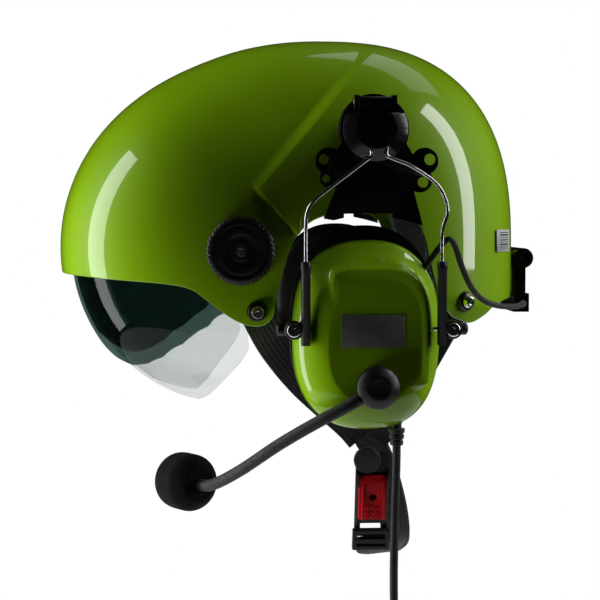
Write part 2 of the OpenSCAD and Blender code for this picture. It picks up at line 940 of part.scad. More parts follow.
module plug_pin() {
  color(steel)
  translate([cord_x, cord_y, plug_z - 30.2])
    rotate([180, 0, 0])
      union() {
        cylinder(d = 5, h = 7.9);
        translate([0, 0, 7.9])
          cylinder(d = 7.1, h = 19);
        translate([0, 0, 26.9])
          cylinder(d = 5.4, h = 2);
        translate([0, 0, 28.9])
          cylinder(d1 = 7.1, d2 = 3, h = 4.5);
      }
}

// ---- lead between the cups, and its clip at the back ----
lead_path = [[112, 29.5, 31.5], [114, 36, 39.7], [117, 43.5, 50], [118, 48, 54], [116, 52, 50], [110, 57, 38],
  [103, 64, 25], [94, 73, 16.5], [84, 84, 12.5], [68, 97, 11], [50, 106, 11], [32, 111, 11], [20, 111, 11]];
module lead() {
  tube(lead_path, lead_d, 3, 8);
}
module lead_left() {
  color(black)
  lead();
}
module lead_right() {
  color(black)
  mirror([1, 0, 0])
    lead();
}
module rear_clip() {
  color(black)
  difference() {
    union() {
      translate([-24, 100, 5])
        cube([48, 16, 12]);
      for (x = [-22, 10])
        translate([x, 100, 16])
          cube([12, 14, 28]);
      translate([-22, 112.5, 40])
        rotate([0, 90, 0])
          cylinder(r = 6.5, h = 44);
    }
    translate([-30, 114, 41])
      rotate([0, 90, 0])
        cylinder(r = 3, h = 60);
    translate([-60, back_y + 0.3, 30])
      rotate([back_tilt, 0, 0])
        translate([0, -40, -60])
          cube([120, 40, 90]);
    translate([-30, 111, 11])
      rotate([0, 90, 0])
        cylinder(d = lead_d + 1.6, h = 60);
  }
}
back_y = seek([0, 0, 30], [0, 1, 0], 20, 140, 15);
back_tilt = atan2(seek([0, 0, 20], [0, 1, 0], 20, 140, 15) - seek([0, 0, 40], [0, 1, 0], 20, 140, 15), 20);
module asset_label() {
  color([0.85, 0.86, 0.86])
  on_shell(92, 52, 0.05)
    translate([-7, -12, 0])
      cube([14, 24, 0.4]);
}

// ---- chin strap and buckle ----
module strap_side() {
  web([[98.5, -65, 11], [94, -62, 3], [80, -52, -14], [69, -34, -36], [58, -6, -62], [54, 3, -72]], [0, 1, 1]);
  web([[76, 60, 15.4], [74, 54, 4], [66, 36, -30], [57, 17, -62], [54, 11, -72]], [0, -1, 1]);
}
module strap_left() {
  color(black)
  difference() {
    strap_side();
    strap_holes();
  }
}
module strap_holes() {
  on_shell(-65, 11, -30)
    cylinder(d = 5.2, h = 40);
  on_shell(63, 15.4, -30)
    cylinder(d = 5.2, h = 40);
}
module strap_right() {
  color(black)
  mirror([1, 0, 0])
    difference() {
      strap_side();
      strap_holes();
    }
}
module at_buckle() {
  translate([47, 10.5, -108])
    rotate([0, 14, 0])
      children();
}
module strap_keeper() {
  color(soft)
  at_buckle()
    translate([2.3, -4, 23.5])
      rotate([0, 90, 0])
        cylinder(d = 17, h = 4);
}
module chin_web() {
  color(black)
  web([[39.4, 10.5, -138], [33, 12, -147], [20, 18, -152], [0, 26, -155], [-20, 34, -150],
    [-38, 34, -130], [-48, 26, -100], [-51.8, 14, -78]], [0, 1, 0.1]);
}
module buckle_body() {
  color(black)
  at_buckle()
    difference() {
      union() {
        translate([-2, -10.5, -30])
          cube([4, 21, 57]);
        for (y = [-10.5, 8.9])
          translate([2, y, 6])
            cube([5.5, 1.6, 9]);
      }
      translate([-3, -7, -26])
        cube([6, 14, 5]);
      translate([4.6, -20, 10.5])
        rotate([-90, 0, 0])
          cylinder(d = 3, h = 40);
    }
}
module buckle_pin() {
  color(steel)
  at_buckle()
    translate([4.6, -10.4, 10.5])
      rotate([-90, 0, 0])
        cylinder(d = 3, h = 20.8);
}
module buckle_lever() {
  color([0.72, 0.03, 0.06])
  at_buckle()
    difference() {
      union() {
        translate([4.6, -8.7, 10.5])
          rotate([-90, 0, 0])
            cylinder(r = 2.5, h = 17.4);
        translate([2.6, -8.7, -16])
          cube([4.6, 17.4, 26.5]);
      }
      translate([4.6, -20, 10.5])
        rotate([-90, 0, 0])
          cylinder(d = 3.1, h = 40);
      translate([0, 0, -1])
        rotate([0, 90, 0])
          cylinder(d = 5, h = 12);
      for (y = [-4.5, 0, 4.5])
        translate([6.6, y, -11])
          rotate([0, 90, 0])
            cylinder(d = 1.6, h = 2);
    }
}
module web_adjuster() {
  color(black)
  at_buckle()
    translate([2.2, -12, -38])
      difference() {
        cube([4, 24, 14]);
        translate([-1, 3, 3])
          cube([6, 18, 3]);
        translate([-1, 3, 8])
          cube([6, 18, 3]);
      }
}

outer_shell();
inner_liner();
fit_pads();
visor_clear();
visor_tint();
knob_left();
knob_right();
knob_screw_left();
knob_screw_right();
pivot_bushes();
anchor_washers();
anchor_bolts();
arm_mount_left();
arm_mount_right();
mount_bolts();
hub_left();
hub_right();
hinge_pin_left();
hinge_pin_right();
yoke_block_left();
yoke_block_right();
yoke_wires_left();
yoke_wires_right();
sliders_left();
sliders_right();
slider_screws_left();
slider_screws_right();
tilt_pins_left();
tilt_pins_right();
cup_shell_left();
cup_shell_right();
cup_plate_left();
cup_plate_right();
cushion_left();
cushion_right();
driver_left();
driver_right();
damping_foam_left();
damping_foam_right();
rating_plate();
boom_hub();
boom_tube();
mic_capsule();
windshield();
cord_gland();
downlead();
plug_body();
plug_pin();
lead_left();
lead_right();
rear_clip();
asset_label();
strap_left();
strap_right();
chin_web();
strap_keeper();
buckle_body();
buckle_pin();
buckle_lever();
web_adjuster();
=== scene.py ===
"""Looks of the flight helmet with its communication headset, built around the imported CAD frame.

Shapes are written in millimetres in the part's frame and scaled to metres when a mesh is made;
matrices and the studio are in metres. The wearer looks along -Y, their left is +X and up is +Z.
"""
import json
from math import cos, pi, radians, sin

import bmesh
import bpy
import numpy as np
from mathutils import Matrix, Vector

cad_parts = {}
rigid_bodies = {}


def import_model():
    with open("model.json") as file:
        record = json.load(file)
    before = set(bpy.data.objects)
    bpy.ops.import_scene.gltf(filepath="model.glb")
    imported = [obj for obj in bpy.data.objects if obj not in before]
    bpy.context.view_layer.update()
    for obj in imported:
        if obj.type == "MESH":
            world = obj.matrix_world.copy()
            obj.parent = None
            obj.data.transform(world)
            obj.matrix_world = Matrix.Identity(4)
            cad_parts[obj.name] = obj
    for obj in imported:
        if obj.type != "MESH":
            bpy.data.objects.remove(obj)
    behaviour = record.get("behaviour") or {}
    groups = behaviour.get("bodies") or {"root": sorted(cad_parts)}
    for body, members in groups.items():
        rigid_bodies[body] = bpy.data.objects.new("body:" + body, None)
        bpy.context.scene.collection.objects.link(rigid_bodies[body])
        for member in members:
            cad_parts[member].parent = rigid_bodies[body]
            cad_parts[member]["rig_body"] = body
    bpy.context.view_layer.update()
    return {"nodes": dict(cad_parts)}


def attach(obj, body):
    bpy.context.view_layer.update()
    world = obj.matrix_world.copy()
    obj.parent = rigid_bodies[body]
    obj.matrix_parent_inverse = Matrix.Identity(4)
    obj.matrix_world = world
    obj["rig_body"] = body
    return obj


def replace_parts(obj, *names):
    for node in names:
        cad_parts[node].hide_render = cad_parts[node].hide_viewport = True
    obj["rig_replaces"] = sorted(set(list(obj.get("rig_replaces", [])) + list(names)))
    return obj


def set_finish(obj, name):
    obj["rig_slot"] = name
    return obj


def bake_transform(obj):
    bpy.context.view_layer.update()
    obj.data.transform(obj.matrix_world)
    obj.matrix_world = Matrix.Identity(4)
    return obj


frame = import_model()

MM = 0.001
scene = bpy.context.scene


# ---------------- camera
def aim(ob, place, target):
    ob.location = place
    ob.rotation_mode = "QUATERNION"
    ob.rotation_quaternion = (Vector(target) - Vector(place)).to_track_quat("-Z", "Y")


TARGET = Vector((0, -0.032, 0.012))
CAMERA_AZ, CAMERA_EL, CAMERA_FAR = radians(-4), radians(3), 1.1
camera = bpy.data.objects.new("camera", bpy.data.cameras.new("camera"))
scene.collection.objects.link(camera)
camera.data.sensor_width = 36
camera.data.lens = 100
back = Vector((cos(CAMERA_AZ) * cos(CAMERA_EL), sin(CAMERA_AZ) * cos(CAMERA_EL), sin(CAMERA_EL)))
aim(camera, TARGET + back * CAMERA_FAR, TARGET)
scene.camera = camera
scene.view_settings.view_transform = "Standard"


# ---------------- materials
def node_tools(m):
    """Two short hands for a node tree: add a node with its settings, and join two sockets."""
    tree = m.node_tree

    def add(kind, **given):
        n = tree.nodes.new(kind)
        for k, v in given.items():
            if k in n.inputs:
                n.inputs[k].default_value = v
            else:
                setattr(n, k, v)
        return n

    return add, tree.links.new


def mapped(m, source, low, high, to_low=0.0, to_high=1.0, kind="LINEAR"):
    """The source with its range low to high laid over to_low to to_high."""
    n = m.node_tree.nodes.new("ShaderNodeMapRange")
    n.interpolation_type = kind
    for key, value in (("From Min", low), ("From Max", high), ("To Min", to_low), ("To Max", to_high)):
        n.inputs[key].default_value = value
    m.node_tree.links.new(source, n.inputs["Value"])
    return n.outputs["Result"]


def material(name, dark, light, rough, mix_scale=60.0, grain=(), metal=0.0, coat=0.0,
             coat_rough=0.05, sheen=0.0, specular=0.5, edge=0.0):
    """Principled material: two colours mixed by noise, roughness between two values, layers of
    grain, each (kind, scale per metre, height in mm), and sharp edges rubbed paler by edge."""
    m = bpy.data.materials.new(name)
    m.use_nodes = True
    add, join = node_tools(m)
    shader = m.node_tree.nodes["Principled BSDF"]
    for key, value in (("Metallic", metal), ("Coat Weight", coat), ("Coat Roughness", coat_rough),
                       ("Sheen Weight", sheen), ("Specular IOR Level", specular)):
        shader.inputs[key].default_value = value
    place = add("ShaderNodeTexCoord").outputs["Object"]
    cloud = add("ShaderNodeTexNoise", Scale=mix_scale, Detail=5.0, Roughness=0.6)
    join(place, cloud.inputs["Vector"])
    mix = add("ShaderNodeMix", data_type="RGBA")
    mix.inputs["A"].default_value = (*dark, 1)
    mix.inputs["B"].default_value = (*light, 1)
    join(mapped(m, cloud.outputs["Fac"], 0.32, 0.68), mix.inputs["Factor"])
    colour = mix.outputs["Result"]
    if edge:
        sharpness = add("ShaderNodeNewGeometry").outputs["Pointiness"]
        rub = add("ShaderNodeMix", data_type="RGBA")
        rub.inputs["B"].default_value = (*[min(1, 2.2 * c + 0.03) for c in light], 1)
        join(mapped(m, sharpness, 0.53, 0.62, 0.0, edge), rub.inputs["Factor"])
        join(colour, rub.inputs["A"])
        colour = rub.outputs["Result"]
    join(colour, shader.inputs["Base Color"])
    smear = add("ShaderNodeTexNoise", Scale=mix_scale * 2.3, Detail=4.0)
    join(place, smear.inputs["Vector"])
    join(mapped(m, smear.outputs["Fac"], 0.3, 0.7, *rough), shader.inputs["Roughness"])
    normal = None
    for kind, scale, height in grain:
        spot = place
        if kind == "pebble":
            tex = add("ShaderNodeTexVoronoi", Scale=scale)
        elif kind == "brush":
            tex = add("ShaderNodeTexNoise", Scale=scale, Detail=2.0)
            stretch = add("ShaderNodeMapping", Scale=(1, 1, 0.04))
            join(place, stretch.inputs["Vector"])
            spot = stretch.outputs["Vector"]
        else:
            tex = add("ShaderNodeTexNoise", Scale=scale, Detail=3.0, Roughness=0.55)
        join(spot, tex.inputs["Vector"])
        bump = add("ShaderNodeBump", Strength=1.0, Distance=height * MM)
        join(tex.outputs["Distance" if kind == "pebble" else "Fac"], bump.inputs["Height"])
        if normal:
            join(normal, bump.inputs["Normal"])
        normal = bump.outputs["Normal"]
    if normal:
        join(normal, shader.inputs["Normal"])
    return m


def woven(name, dark, light, rough, rib_count, pick):
    """Webbing: ribs run along the strap and picks cross it, read from the strap's own map."""
    m = material(name, dark, light, rough, mix_scale=300.0, sheen=0.25)
    add, join = node_tools(m)
    shader = m.node_tree.nodes["Principled BSDF"]
    where = add("ShaderNodeUVMap", uv_map="run")
    part = add("ShaderNodeSeparateXYZ")
    join(where.outputs["UV"], part.inputs["Vector"])

    def wave(source, turns):
        scaled = add("ShaderNodeMath", operation="MULTIPLY")
        scaled.inputs[1].default_value = turns * 2 * pi
        join(source, scaled.inputs[0])
        s = add("ShaderNodeMath", operation="SINE")
        join(scaled.outputs[0], s.inputs[0])
        return s.outputs[0]

    ribs = wave(part.outputs["X"], rib_count)
    picks = wave(part.outputs["Y"], 1 / pick)
    crossed = add("ShaderNodeMath", operation="MULTIPLY")
    join(ribs, crossed.inputs[0])
    join(picks, crossed.inputs[1])
    both = add("ShaderNodeMath", operation="ADD")
    join(ribs, both.inputs[0])
    join(crossed.outputs[0], both.inputs[1])
    bump = add("ShaderNodeBump", Strength=1.0, Distance=0.12 * MM)
    join(both.outputs[0], bump.inputs["Height"])
    join(bump.outputs["Normal"], shader.inputs["Normal"])
    return m


def sheet_glass(name, through, film, haze, rough):
    """Clear or tinted visor sheet: light passes with a tint, and each face mirrors a little; the
    mirror never grows past 4.5 times the haze, so that the sheet stays clear at a low angle."""
    m = material(name, film, [1.1 * c for c in film], rough, mix_scale=25.0)
    add, join = node_tools(m)
    shader = m.node_tree.nodes["Principled BSDF"]
    clear = add("ShaderNodeBsdfTransparent")
    clear.inputs["Color"].default_value = (*through, 1)
    mirror = add("ShaderNodeFresnel", IOR=1.18)
    lift = add("ShaderNodeMath", operation="ADD", use_clamp=True)
    lift.inputs[1].default_value = haze
    mix = add("ShaderNodeMixShader")
    join(mirror.outputs["Fac"], lift.inputs[0])
    low = add("ShaderNodeMath", operation="MINIMUM")
    low.inputs[1].default_value = haze * 4.5
    join(lift.outputs[0], low.inputs[0])
    join(low.outputs[0], mix.inputs["Fac"])
    join(clear.outputs["BSDF"], mix.inputs[1])
    shiny = add("ShaderNodeBsdfGlossy", Roughness=rough[0])
    dull = add("ShaderNodeMixShader", Fac=haze * 6)
    join(shiny.outputs["BSDF"], dull.inputs[1])
    join(shader.outputs["BSDF"], dull.inputs[2])
    join(dull.outputs["Shader"], mix.inputs[2])
    join(mix.outputs["Shader"], m.node_tree.nodes["Material Output"].inputs["Surface"])
    return m


GREEN_DARK, GREEN_LIGHT = (0.27, 0.53, 0.002), (0.31, 0.58, 0.004)
M = {
    "paint": material("shell_paint", GREEN_DARK, GREEN_LIGHT, (0.3, 0.42), mix_scale=14.0,
                      grain=[("noise", 420.0, 0.012)], coat=1.0, coat_rough=0.04, specular=0.15, edge=0.12),
    "lining": material("lining_fabric", (0.012, 0.012, 0.013), (0.03, 0.03, 0.032), (0.8, 0.95),
                       mix_scale=220.0, grain=[("noise", 1500.0, 0.15)], sheen=0.4),
    "pad": material("pad_fabric", (0.014, 0.014, 0.015), (0.032, 0.032, 0.034), (0.75, 0.95),
                    mix_scale=260.0, grain=[("pebble", 1100.0, 0.14)], sheen=0.5),
    "clear": sheet_glass("clear_visor", (0.875, 0.89, 0.88), (0.5, 0.52, 0.52), 0.02, (0.02, 0.05)),
    "tint": sheet_glass("tinted_visor", (0.26, 0.34, 0.325), (0.02, 0.03, 0.03), 0.025, (0.02, 0.05)),
    "black": material("black_plastic", (0.006, 0.006, 0.0065), (0.012, 0.012, 0.013), (0.32, 0.5),
                      mix_scale=90.0, grain=[("noise", 1400.0, 0.03)], edge=0.35),
    "gloss": material("gloss_black", (0.004, 0.004, 0.0045), (0.008, 0.008, 0.009), (0.14, 0.26),
                      mix_scale=70.0, grain=[("noise", 500.0, 0.012)], edge=0.3),
    "rubber": material("black_rubber", (0.009, 0.009, 0.0095), (0.018, 0.018, 0.019), (0.5, 0.68),
                       mix_scale=150.0, grain=[("noise", 1600.0, 0.03)], sheen=0.1),
    "steel": material("polished_steel", (0.62, 0.63, 0.64), (0.8, 0.81, 0.82), (0.12, 0.26),
                      mix_scale=200.0, grain=[("brush", 2500.0, 0.008)], metal=1.0),
    "cushion": material("cushion_skin", (0.008, 0.008, 0.009), (0.016, 0.016, 0.017), (0.42, 0.6),
                        mix_scale=120.0, grain=[("pebble", 900.0, 0.08), ("noise", 160.0, 0.1)],
                        sheen=0.1),
    "foam": material("open_foam", (0.003, 0.003, 0.0032), (0.009, 0.009, 0.0095), (0.9, 1.0), specular=0.2,
                     mix_scale=600.0, grain=[("pebble", 1300.0, 0.35)], sheen=0.03),
    "webbing": woven("black_webbing", (0.008, 0.008, 0.009), (0.022, 0.022, 0.023), (0.6, 0.8),
                     7, 1.3),
    "red": material("red_plastic", (0.6, 0.003, 0.008), (0.68, 0.005, 0.012), (0.3, 0.45), specular=0.35,
                    mix_scale=70.0, grain=[("noise", 900.0, 0.02)], edge=0.2),
    "plate": material("plate_film", (0.13, 0.13, 0.115), (0.17, 0.17, 0.155), (0.35, 0.5),
                      mix_scale=180.0, grain=[("brush", 3000.0, 0.01)]),
    "label": material("label_film", (0.5, 0.51, 0.52), (0.56, 0.57, 0.58), (0.35, 0.5),
                      mix_scale=150.0, grain=[("noise", 1200.0, 0.01)]),
    "ink": material("label_print", (0.03, 0.03, 0.035), (0.05, 0.05, 0.055), (0.4, 0.5),
                    mix_scale=200.0),
}


# ---------------- mesh helpers
def build(name, points, faces, mat, sharp=40.0, normals=None, outward=True):
    """A new smooth mesh with edges creased above the angle sharp, or with the normals given."""
    me = bpy.data.meshes.new(name)
    me.from_pydata((np.asarray(points, float) * MM).tolist(), [], faces)
    if outward:
        bm = bmesh.new()
        bm.from_mesh(me)
        bmesh.ops.recalc_face_normals(bm, faces=bm.faces)
        bm.to_mesh(me)
        bm.free()
    me.materials.append(mat)
    me.shade_smooth()
    if normals is not None:
        me.normals_split_custom_set_from_vertices(np.asarray(normals).tolist())
    elif sharp < 180:
        me.set_sharp_from_angle(angle=radians(sharp))
    ob = bpy.data.objects.new(name, me)
    scene.collection.objects.link(ob)
    return ob


def put(ob, body, slot, *nodes):
    """Ties a piece to its body and its slot, and to the CAD nodes it stands for."""
    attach(ob, body)
    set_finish(ob, slot)
    if nodes:
        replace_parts(ob, *nodes)
    return ob


def mirrored(ob, name):
    """A twin of a piece on the other side of the middle plane, not yet tied to a body."""
    twin = ob.copy()
    twin.data = ob.data.copy()
    twin.name = twin.data.name = name
    scene.collection.objects.link(twin)
    twin.parent = None
    twin.matrix_world = Matrix.Identity(4)
    twin.data.transform(Matrix.Scale(-1, 4, (1, 0, 0)))
    twin.data.flip_normals()
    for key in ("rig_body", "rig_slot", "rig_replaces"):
        if key in twin:
            del twin[key]
    return twin


def quads(rows, cols, base=0):
    """Faces between rows of points, each row a closed loop, with the first point at base."""
    i, j = np.meshgrid(np.arange(rows - 1), np.arange(cols), indexing="ij")
    a, b = base + i * cols + j, base + i * cols + (j + 1) % cols
    return np.stack([a, b, b + cols, a + cols], -1).reshape(-1, 4).tolist()


def rings(name, loops, mat, closed=False, sharp=40.0):
    """A skin through equal loops of points, its ends closed by a point or joined to each other."""
    loops = np.asarray(loops, float)
    rows, cols = loops.shape[:2]
    points = loops.reshape(-1, 3)
    faces = quads(rows, cols)
    if closed:
        last = (rows - 1) * cols
        faces += [[last + j, last + (j + 1) % cols, (j + 1) % cols, j] for j in range(cols)]
    else:
        points = np.vstack([points, loops[0].mean(0), loops[-1].mean(0)])
        n = rows * cols
        faces += [[(j + 1) % cols, j, n] for j in range(cols)]
        faces += [[n - cols + j, n - cols + (j + 1) % cols, n + 1] for j in range(cols)]
    return build(name, points, faces, mat, sharp)


def spline(points, step):
    """Smooth curve through the points (Catmull-Rom), evenly spaced by about step."""
    p = np.asarray(points, float)
    q = np.vstack([2 * p[0] - p[1], p, 2 * p[-1] - p[-2]])
    fine = []
    t = np.linspace(0, 1, 24, endpoint=False)[:, None]
    for i in range(1, len(q) - 2):
        a, b, c, d = q[i - 1], q[i], q[i + 1], q[i + 2]
        fine.append(0.5 * (2 * b + (c - a) * t + (2 * a - 5 * b + 4 * c - d) * t ** 2
                           + (3 * b - a - 3 * c + d) * t ** 3))
    fine = np.vstack([*fine, p[-1:]])
    run = np.concatenate([[0], np.cumsum(np.linalg.norm(np.diff(fine, axis=0), axis=1))])
    at = np.linspace(0, run[-1], max(3, int(round(run[-1] / step)) + 1))
    return np.stack([np.interp(at, run, fine[:, k]) for k in range(fine.shape[1])], 1)


def carried(path, side):
    """Unit frames along a path: direction, and two normals carried without twist from side."""
    t = np.gradient(path, axis=0)
    t /= np.linalg.norm(t, axis=1)[:, None]
    u = np.asarray(side, float)
    us = []
    for d in t:
        u = u - d * (u @ d)
        u /= np.linalg.norm(u)
        us.append(u)
    us = np.array(us)
    return t, us, np.cross(t, us)


def tube(name, path, radius, mat, cols=24, round_ends=True):
    """Round tube; radius is a number, or a function of the share of the length and the run in mm."""
    t, u, v = carried(path, (1, 0, 0))
    run = np.concatenate([[0], np.cumsum(np.linalg.norm(np.diff(path, axis=0), axis=1))])
    r = np.array([radius(s / run[-1], s) if callable(radius) else radius for s in run])
    a = np.linspace(0, 2 * pi, cols, endpoint=False)
    circle = u[:, None] * np.cos(a)[None, :, None] + v[:, None] * np.sin(a)[None, :, None]
    loops = path[:, None] + circle * r[:, None, None]
    if round_ends:
        turn = np.radians([80, 55, 28])
        head = [path[0] - t[0] * r[0] * 0.5 * sin(b) + circle[0] * r[0] * cos(b) for b in turn]
        tail = [path[-1] + t[-1] * r[-1] * 0.5 * sin(b) + circle[-1] * r[-1] * cos(b) for b in turn[::-1]]
        loops = np.concatenate([np.array(head), loops, np.array(tail)])
    return rings(name, loops, mat)


def ribbon(name, points, side, width, thick, mat, step=1.2):
    """Webbing with rounded edges and a map that runs along it."""
    path = spline(points, step)
    t = np.gradient(path, axis=0)
    t /= np.linalg.norm(t, axis=1)[:, None]
    s = np.asarray(side, float)[None] - t * (t @ np.asarray(side, float))[:, None]
    s /= np.linalg.norm(s, axis=1)[:, None]
    w = np.cross(t, s)
    across = np.linspace(-1, 1, 25)
    lift = (1 - 0.55 * np.abs(across) ** 14) * (1 + 0.08 * np.cos(across * 7 * pi))
    section = [(a * width / 2, l * thick / 2) for a, l in zip(across, lift)]
    section += [(a * width / 2, -l * thick / 2) for a, l in zip(across[::-1], lift[::-1])]
    section = np.array(section)
    loops = (path[:, None] + s[:, None] * section[None, :, :1] + w[:, None] * section[None, :, 1:])
    ob = rings(name, loops, mat)
    run = np.concatenate([[0], np.cumsum(np.linalg.norm(np.diff(path, axis=0), axis=1))])
    cols = len(section)
    u = np.concatenate([np.tile(section[:, 0] / width + 0.5, len(path)), [0.5, 0.5]])
    v = np.concatenate([np.repeat(run, cols), [0, run[-1]]])
    layer = ob.data.uv_layers.new(name="run")
    corner = np.zeros(len(ob.data.loops), np.int32)
    ob.data.loops.foreach_get("vertex_index", corner)
    layer.data.foreach_set("uv", np.stack([u[corner], v[corner]], 1).ravel().astype(np.float32))
    return ob


def lathe(name, profile, mat, centre=(0, 0), cols=96, warp=None, matrix=None, sharp=40.0):
    """Turned shape about the X axis through centre (y, z); profile rows are (x, radius)."""
    a = np.linspace(0, 2 * pi, cols, endpoint=False)
    loops = []
    for x, r in profile:
        radius = np.full(cols, float(r)) if warp is None else warp(a, x, r)
        loops.append(np.stack([np.full(cols, float(x)), centre[0] + radius * np.cos(a),
                               centre[1] + radius * np.sin(a)], 1))
    ob = rings(name, loops, mat, sharp=sharp)
    if matrix is not None:
        ob.data.transform(matrix)
    return ob


def upright(x, y, z):
    """Matrix that stands a turned shape on end at (x, y, z) in metres, its X axis along +Z."""
    return Matrix.Translation((x, y, z)) @ Matrix.Rotation(radians(-90), 4, "Y")


def applied(ob):
    """The piece with its modifiers worked into its mesh."""
    graph = bpy.context.evaluated_depsgraph_get()
    me = bpy.data.meshes.new_from_object(ob.evaluated_get(graph), depsgraph=graph)
    ob.modifiers.clear()
    ob.data = me
    return ob


def copied(node, name, mat, merge=False):
    """A copy of a CAD node as a new piece; merge joins the triangles of each flat face."""
    me = frame["nodes"][node].data.copy()
    me.materials.clear()
    bm = bmesh.new()
    bm.from_mesh(me)
    bmesh.ops.remove_doubles(bm, verts=bm.verts, dist=2e-6)
    if merge:
        bmesh.ops.dissolve_limit(bm, angle_limit=radians(1.0), verts=bm.verts, edges=bm.edges)
        bmesh.ops.recalc_face_normals(bm, faces=bm.faces)
    bm.to_mesh(me)
    bm.free()
    me.materials.append(mat)
    ob = bpy.data.objects.new(name, me)
    scene.collection.objects.link(ob)
    return ob


def refined(node, name, mat, bevel, segments, body, slot, angle=35):
    """A copy of a CAD node with its edges rounded as moulded or machined ones are."""
    ob = copied(node, name, mat, merge=True)
    edge = ob.modifiers.new("round", "BEVEL")
    edge.width = bevel * MM
    edge.segments = segments
    edge.limit_method = "ANGLE"
    edge.angle_limit = radians(angle)
    applied(ob)
    ob.data.shade_smooth()
    ob.data.set_sharp_from_angle(angle=radians(50))
    return put(ob, body, slot, node)


def remeshed(ob, voxel, smooth, factor=0.5):
    """The piece with an even skin of voxel-sized faces, smoothed as soft material is."""
    mod = ob.modifiers.new("voxel", "REMESH")
    mod.mode = "VOXEL"
    mod.voxel_size = voxel * MM
    applied(ob)
    soften = ob.modifiers.new("soften", "SMOOTH")
    soften.iterations = smooth
    soften.factor = factor
    applied(ob)
    ob.data.shade_smooth()
    return ob


def coordinates(ob):
    co = np.zeros(len(ob.data.vertices) * 3)
    ob.data.vertices.foreach_get("co", co)
    return co.reshape(-1, 3)


def move_to(ob, co):
    ob.data.vertices.foreach_set("co", np.asarray(co, np.float64).ravel())
    ob.data.update()


def puffed(ob, held, cap, pressure=4.0):
    """Lets air pressure swell a cloth skin; held(co) marks what stays, cap limits the swelling."""
    start = coordinates(ob)
    fixed = ob.vertex_groups.new(name="held")
    fixed.add(np.nonzero(held(start))[0].tolist(), 1.0, "REPLACE")
    cloth = ob.modifiers.new("cloth", "CLOTH")
    cloth.settings.quality = 5
    cloth.settings.vertex_group_mass = "held"
    cloth.settings.use_pressure = True
    cloth.settings.uniform_pressure_force = pressure
    cloth.settings.effector_weights.gravity = 0
    cloth.collision_settings.use_collision = False
    last_frame = 20
    for f in range(1, last_frame + 1):
        scene.frame_set(f)
    graph = bpy.context.evaluated_depsgraph_get()
    me = bpy.data.meshes.new_from_object(ob.evaluated_get(graph), depsgraph=graph)
    end = np.zeros(len(me.vertices) * 3)
    me.vertices.foreach_get("co", end)
    ob.modifiers.clear()
    ob.vertex_groups.clear()
    shift = end.reshape(-1, 3) - start
    far = np.linalg.norm(shift, axis=1)[:, None]
    shift *= np.minimum(1, cap * MM / np.maximum(far, 1e-9))
    move_to(ob, start + shift)
    scene.frame_set(1)
    return ob


def subdivided(ob):
    mod = ob.modifiers.new("fine", "SUBSURF")
    mod.levels = mod.render_levels = 1
    applied(ob)
    ob.data.shade_smooth()
    return ob


# ---------------- downlead, the one free cord
CORD_AXIS = (0.112, 0.018, 0)
CORD_ROUTE = [(112 + x, 18 + y, -60 - 205 * k) for x, y, k in
              [(0, 0, 0.01), (0, 0, 0.09), (-0.8, -0.8, 0.26), (-1.6, -1.2, 0.45), (-1.4, -0.4, 0.64),
               (-0.6, 0.5, 0.82), (0, 0, 0.93), (0, 0, 1)]]
cord_path = spline(CORD_ROUTE, 4.0)
downlead = put(tube("downlead_jacket", cord_path, 2.5, M["rubber"], round_ends=False),
               "cup_l", "cable", "downlead")
gland = put(lathe("cord_relief", [(-69.2, 3.2), (-68.9, 3.9), (-66.6, 4.1), (-66.3, 3.6), (-65.4, 3.6),
                                  (-65.1, 4.4), (-62.9, 4.6), (-62.6, 4.0), (-61.8, 4.0), (-61.4, 4.9),
                                  (-59.2, 5.0), (-59, 4.4), (-59, 3.0), (-50.4, 3.0), (-50.2, 2.6)],
                  M["rubber"], cols=48, matrix=upright(*CORD_AXIS)), "cup_l", "black_plastic", "cord_gland")


def grip(a, x, r):
    """Eighteen finger ribs along the widest part of the plug."""
    return r - 0.35 * (np.cos(a * 18) > 0) * (7.49 < r) * (-299 < x < -269)


plug = put(lathe("plug_moulding", [(-253, 3.4), (-253.3, 3.9), (-257, 4.2), (-261, 4.9), (-264.6, 5.9),
                                   (-265, 6.2), (-265.6, 7.1), (-267, 7.5), (-269.2, 7.5),
                                   (-270, 7.5), (-279, 7.5), (-289, 7.5), (-297.5, 7.5),
                                   (-299.1, 7.4), (-301.5, 6.6), (-302.9, 6.1), (-303, 5.6), (-303, 2.7)],
                  M["rubber"], cols=144, warp=grip, matrix=upright(*CORD_AXIS)),
           "cup_l", "black_plastic", "plug_body")
pin = put(lathe("plug_contacts", [(-295.2, 2.4), (-302.9, 2.5), (-303.1, 3.3), (-303.4, 3.55),
                                  (-321.6, 3.55), (-322.1, 3.3), (-322.4, 2.7), (-323.8, 2.7),
                                  (-324.1, 3.2), (-324.5, 3.5), (-325.4, 3.5), (-327.4, 2.2),
                                  (-328.4, 1.5), (-328.6, 0.8)], M["steel"], cols=64,
                matrix=upright(*CORD_AXIS)), "cup_l", "steel", "plug_pin")


# ---------------- helmet shell
AXIS_Y, AXIS_Z = -75, 47  # the knobs' axis, which the visors turn about
DOME_Y, DOME_Z = -20, 45  # the middle of the dome
EDGE_Y, EDGE_Z = -69, 86  # where the two edges of the shell's wide part meet
NARROW, PROUD = 108, 5.5  # half width of the shell's front, and how much wider the rest is
FRONT, REAR, UP, DOWN = 157.0, 126.0, 136.0, 200.0  # how far the dome reaches from its middle
FRONT_POWER, REAR_POWER, SIDE_POWER = 2.12, 2.59, 2.15  # 2 is an ellipse, more is squarer
HOUSING_HALF, HOUSING_ROUND, HOUSING_POWER = 112, 113, 2.3  # the visor housing, round the axis


def step_up(a, b, v):
    """Smooth step from 0 at a to 1 at b."""
    t = np.clip((v - a) / (b - a), 0, 1)
    return t * t * (3 - 2 * t)


